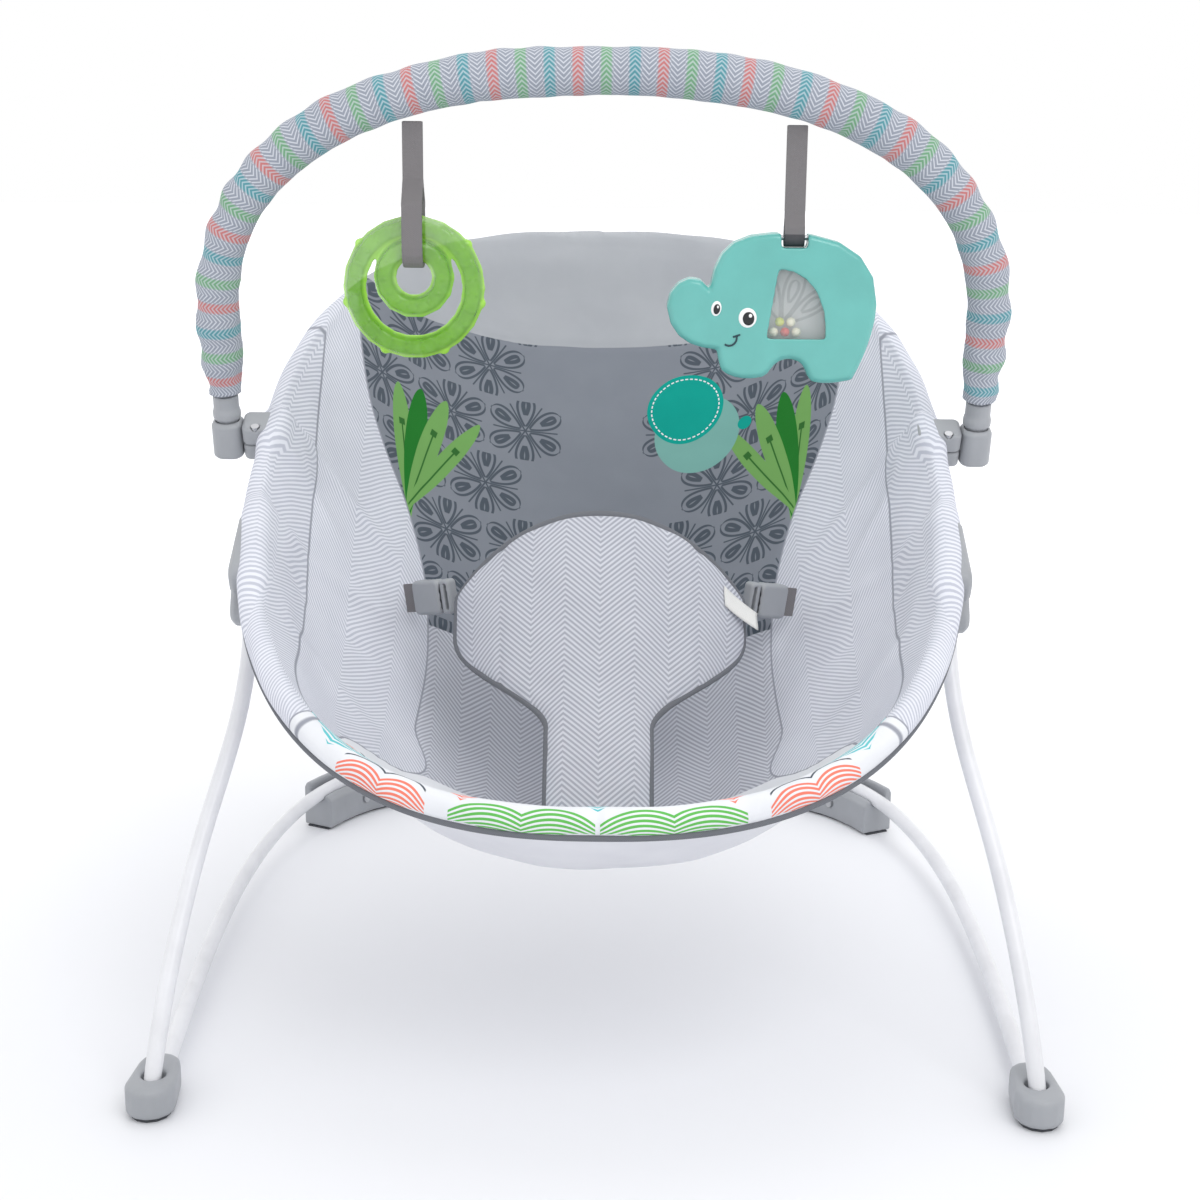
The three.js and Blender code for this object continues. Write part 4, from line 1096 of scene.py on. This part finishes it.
# ---- toys --------------------------------------------------------------------------------------

BEAD_TINTS = {"cream": rgb(242, 238, 214), "red": rgb(214, 52, 46), "yellow_green": rgb(204, 214, 86)}


def build_toys():
    softened("left_toy_strap", "teether_strap", WEBBING, "webbing", 0.6 * MM, 3)
    softened("right_toy_strap", "rattle_strap", WEBBING, "webbing", 0.6 * MM, 3)
    teether()
    for node in ("rattle_front_shell", "rattle_back_shell"):
        softened(node, "rattle", TEAL_SHELL, "teal_plastic", 0.9 * MM, 10)
    paint(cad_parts["rattle_ear_window"], WINDOW)
    paint(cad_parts["rattle_ear_panel"], ear_print())
    for number, tint in enumerate(("cream", "red", "cream", "yellow_green", "cream"), 1):
        material = moulded(f"bead_{number}", BEAD_TINTS[tint], 0.22, 0.05, Coat_Weight=0.4)
        softened(f"rattle_bead_{number}", "beads", material, "bead_" + tint, 0.35 * MM, 2)
    strap_fold()
    build_face()


def strap_fold():
    """The strap's end, folded round the pin at the top of the rattle and sewn down."""
    low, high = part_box("rattle_strap_pin")
    middle = (low + high) / 2
    strap_low, strap_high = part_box("right_toy_strap")
    half = (strap_high.x - strap_low.x) / 2
    turns = np.linspace(0, 2 * np.pi, 36, endpoint=False)
    points = []
    shoulder = half - 0.5 * MM
    rows = ((-half, 3.0), (-half, 4.3), (-shoulder, 4.6), (shoulder, 4.6), (half, 4.3), (half, 3.0))
    for across, radius in rows:
        x = middle.x + across
        wide, tall = radius * 0.95 * MM, radius * 1.15 * MM
        points += [(x, middle.y + wide * math.cos(t), middle.z + tall * math.sin(t)) for t in turns]
    faces = grid_faces(len(rows), len(turns), wrap_rows=True, wrap_columns=True)
    piece = new_object("strap_fold", points, faces)
    outward(piece)
    place(piece, "rattle_strap", FOLD_WEBBING, "webbing")


TEETHER = {"outer": 35 * MM, "inner": 17.2 * MM, "lift": 6 * MM, "reach": 6.6 * MM}


def ring_distances(x, z):
    """How far a place is from the middle line of the outer and of the inner ring, and its angle."""
    low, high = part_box("teether_ring")
    x, z = x - (low.x + high.x) / 2, z - (low.z + high.z) / 2
    inner = np.sqrt(x * x + (z - TEETHER["lift"]) ** 2) - TEETHER["inner"]
    return np.sqrt(x * x + z * z) - TEETHER["outer"], inner, np.arctan2(z, x)


def spaced(turn, pitch, first, width):
    """Bumps round a ring, by their pitch, first place and width in degrees."""
    return bell(np.mod(turn, math.radians(pitch)) - math.radians(first), math.radians(width))


def teether():
    """Two joined flat rings of clear gel with raised dots and ridges on both faces."""
    piece = softened("teether_ring", "teether", gel(), "green_gel", 0.7 * MM, 10)
    mesh = piece.data
    points = np.zeros(len(mesh.vertices) * 3)
    mesh.vertices.foreach_get("co", points)
    points = points.reshape(-1, 3)
    outer, inner, turn = ring_distances(points[:, 0], points[:, 2])
    dots = spaced(turn, 15, 7.5, 1.6) * bell(np.abs(outer) - 2.2 * MM, 0.9 * MM)
    ridges = spaced(turn, 45, 22, 2.6) * bell(outer, 4 * MM)
    inner_dots = spaced(turn, 30, 15, 3.4) * bell(inner, 1.6 * MM)
    middle = points[:, 1].mean()
    raised = 0.9 * MM * np.maximum(np.maximum(dots, ridges), inner_dots)
    points[:, 1] += np.sign(points[:, 1] - middle) * raised * (np.abs(points[:, 1] - middle) > 2.5 * MM)
    nearest = np.where(np.abs(outer) < np.abs(inner), np.abs(outer), np.abs(inner))
    mesh.vertices.foreach_set("co", points.ravel())
    # painted highlight: the edge number is 1 near the rings' rounded edges, where the gel's colour is made
    # paler as if lit
    add_number(piece, "edge", smoothstep(TEETHER["reach"] - 2.4 * MM, TEETHER["reach"] - 0.4 * MM, nearest))
    mesh.update()


def gel():
    cloth = Cloth("green_gel", 0.12, Coat_Weight=0.6, Coat_Roughness=0.05, IOR=1.42, Alpha=0.68)
    where = cloth.position()
    edge = cloth.number("edge")
    body = cloth.mix(cloth.noise(where, 60.0).ramp(0.3, 0.7), rgb(106, 170, 30), rgb(122, 188, 40))
    # painted highlight: a paler, brighter green near the rings' edges
    cloth.colour(cloth.mix(edge, body, rgb(172, 236, 66)))
    cloth.roughen(cloth.noise(where, 200.0), 0.06, 0.2)
    cloth.bump((cloth.noise(where, 240.0, 2.0), 0.25, 0.5 * MM))
    return cloth.material


def ear_print():
    """The ear's backing: pale grey with the outlines of a few petals fanned out from its lower corner."""
    cloth = Cloth("ear_print", 0.5)
    x, y, z = cloth.split(cloth.position())
    low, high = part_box("rattle_ear_panel")
    from_corner = x - (low.x + 0.3 * (high.x - low.x)), z - (low.z + 0.2 * (high.z - low.z))
    drawn = 0.0
    for lean in (-0.35, 0.3, 0.95):
        p, q = turned(*from_corner, lean)
        drawn = petal_line(p, abs(q), 3 * MM, 32 * MM, 5.5 * MM).at_least(drawn)
        drawn = petal_line(p, abs(q), 14 * MM, 14 * MM, 2.6 * MM).at_least(drawn)
    cloth.colour(cloth.mix(drawn, rgb(192, 196, 198), rgb(158, 163, 166)))
    cloth.roughen(cloth.noise(cloth.position(), 300.0), 0.42, 0.6)
    return cloth.material


def inked(name, centre, half_wide, half_tall, lift, material, lean=0.0):
    """A slightly raised oval printed on the rattle's front."""
    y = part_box("rattle_front_shell")[0].y
    sides = 40
    turns = np.linspace(0, 2 * np.pi, sides, endpoint=False)
    rings = ((0.6, lift), (0.95, lift * 0.9), (1.0, 0.0), (0.95, -0.4 * MM))
    c, s = math.cos(lean), math.sin(lean)
    points = [(centre[0], y - lift, centre[1])]
    for share, height in rings:
        x = half_wide * share * np.cos(turns)
        z = half_tall * share * np.sin(turns)
        points += [(centre[0] + c * a - s * b, y - height, centre[1] + s * a + c * b) for a, b in zip(x, z)]
    faces = [(0, 1 + j, 1 + (j + 1) % sides) for j in range(sides)]
    faces += [tuple(1 + i for i in f) for f in grid_faces(len(rings), sides, wrap_columns=True)]
    faces.append(tuple(len(points) - sides + j for j in range(sides)))
    piece = new_object(name, points, faces)
    outward(piece)
    return place(piece, "rattle", material, "teal_plastic")


def build_face():
    low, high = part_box("rattle_front_shell")
    left, bottom = low.x, low.z
    wide, tall = high.x - low.x, high.z - low.z
    # (name, place along and up the rattle as shares, half width, half height, lean)
    for name, share_x, share_z, half_x, half_z, lean in (("near_eye", 0.385, 0.44, 5.3 * MM, 5.8 * MM, 0.0),
                                                         ("far_eye", 0.235, 0.50, 3.0 * MM, 4.4 * MM, -0.15)):
        x, z = left + share_x * wide, bottom + share_z * tall
        pupil, glint = (x + 0.1 * half_x, z - 0.08 * half_z), (x + 0.3 * half_x, z + 0.22 * half_z)
        inked(name + "_white", (x, z), half_x, half_z, 0.25 * MM, WHITE_INK, lean)
        inked(name + "_pupil", pupil, 0.66 * half_x, 0.7 * half_z, 0.5 * MM, BLACK_INK, lean)
        inked(name + "_glint", glint, 0.2 * half_x, 0.2 * half_z, 0.7 * MM, WHITE_INK)
    angle = np.linspace(math.radians(235), math.radians(375), 24)
    x = left + 0.30 * wide + 4.4 * MM * np.cos(angle)
    z = bottom + 0.305 * tall + 4.6 * MM * np.sin(angle)
    line = np.stack([x, np.full_like(x, low.y - 0.1 * MM), z], -1)
    place(tube_along("smile", line, 0.6 * MM, 8), "rattle", SMILE_INK, "teal_plastic")
    cheek = line[-1] + np.linspace(-1, 1, 8)[:, None] * np.array([2.1 * MM, 0, 0.7 * MM])
    place(tube_along("smile_end", cheek, 0.55 * MM, 8), "rattle", SMILE_INK, "teal_plastic")


# ---- camera, floor and light -------------------------------------------------------------------

CAMERA_Y, CAMERA_Z = -1.214, 0.5248
CAMERA_DOWN = math.radians(14)
CAMERA_ROLL = math.radians(0.6)
CAMERA_LENS = 60
FLOOR_SIZE, FLOOR_Y = 14, 2.0
GLOW_Y = -0.6  # the floor fades to white with distance from here
GLOW_START, GLOW_END, GLOW_STRENGTH = 0.5, 1.9, 0.4
# (name, place, watts, size)
LIGHTS = (("key", (0.9, -1.5, 2.2), 15, 1.4),
          ("fill", (-1.6, -1.0, 1.6), 2, 1.6),
          ("top", (0.1, 0.7, 2.4), 7, 1.4))
LIGHTS_AIM = Vector((0, 0, 0.25))


def build_stage():
    """A white floor that fades into a white world, and three soft lights."""
    bpy.ops.mesh.primitive_plane_add(size=FLOOR_SIZE, location=(0, FLOOR_Y, 0))
    floor = bpy.context.object
    floor.name = "floor"
    cloth = Cloth("floor_white", 0.6, Emission_Color=(1, 1, 1, 1))
    faint = cloth.noise(cloth.position(), 0.5, 2.0)
    cloth.colour(cloth.mix(faint, rgb(232, 233, 237), rgb(236, 237, 240)))
    x, y, z = cloth.split(cloth.position())
    ahead = y + (FLOOR_Y - GLOW_Y)
    distance = (x * x + ahead * ahead).root()
    cloth.feed("Emission Strength", distance.ramp(GLOW_START, GLOW_END) * GLOW_STRENGTH)
    paint(floor, cloth.material)
    world = bpy.data.worlds.new("studio")
    world.use_nodes = True
    background = world.node_tree.nodes["Background"]
    background.inputs[0].default_value = (1.0, 1.0, 1.0, 1)
    background.inputs[1].default_value = 1.0
    bpy.context.scene.world = world
    for name, at, energy, size in LIGHTS:
        light = bpy.data.lights.new(name, "AREA")
        light.energy = energy
        light.size = size
        lamp = linked(name, light)
        lamp.location = at
        lamp.rotation_euler = (LIGHTS_AIM - Vector(at)).to_track_quat("-Z", "Y").to_euler()


def build_camera():
    data = bpy.data.cameras.new("camera")
    data.lens = CAMERA_LENS
    camera = linked("camera", data)
    camera.location = (0, CAMERA_Y, CAMERA_Z)
    camera.rotation_mode = "XYZ"
    camera.rotation_euler = (math.pi / 2 - CAMERA_DOWN, 0, 0)
    camera.rotation_euler.rotate_axis("Z", CAMERA_ROLL)
    bpy.context.scene.camera = camera
    bpy.context.scene.view_settings.view_transform = "Standard"


# ---- build -------------------------------------------------------------------------------------

hard_parts()
build_sling()
place(bar_sleeve(), "toy_bar", sleeve_cloth(), "sleeve_fabric", "toy_bar_sleeve")
build_bib()
build_toys()
build_stage()
build_camera()
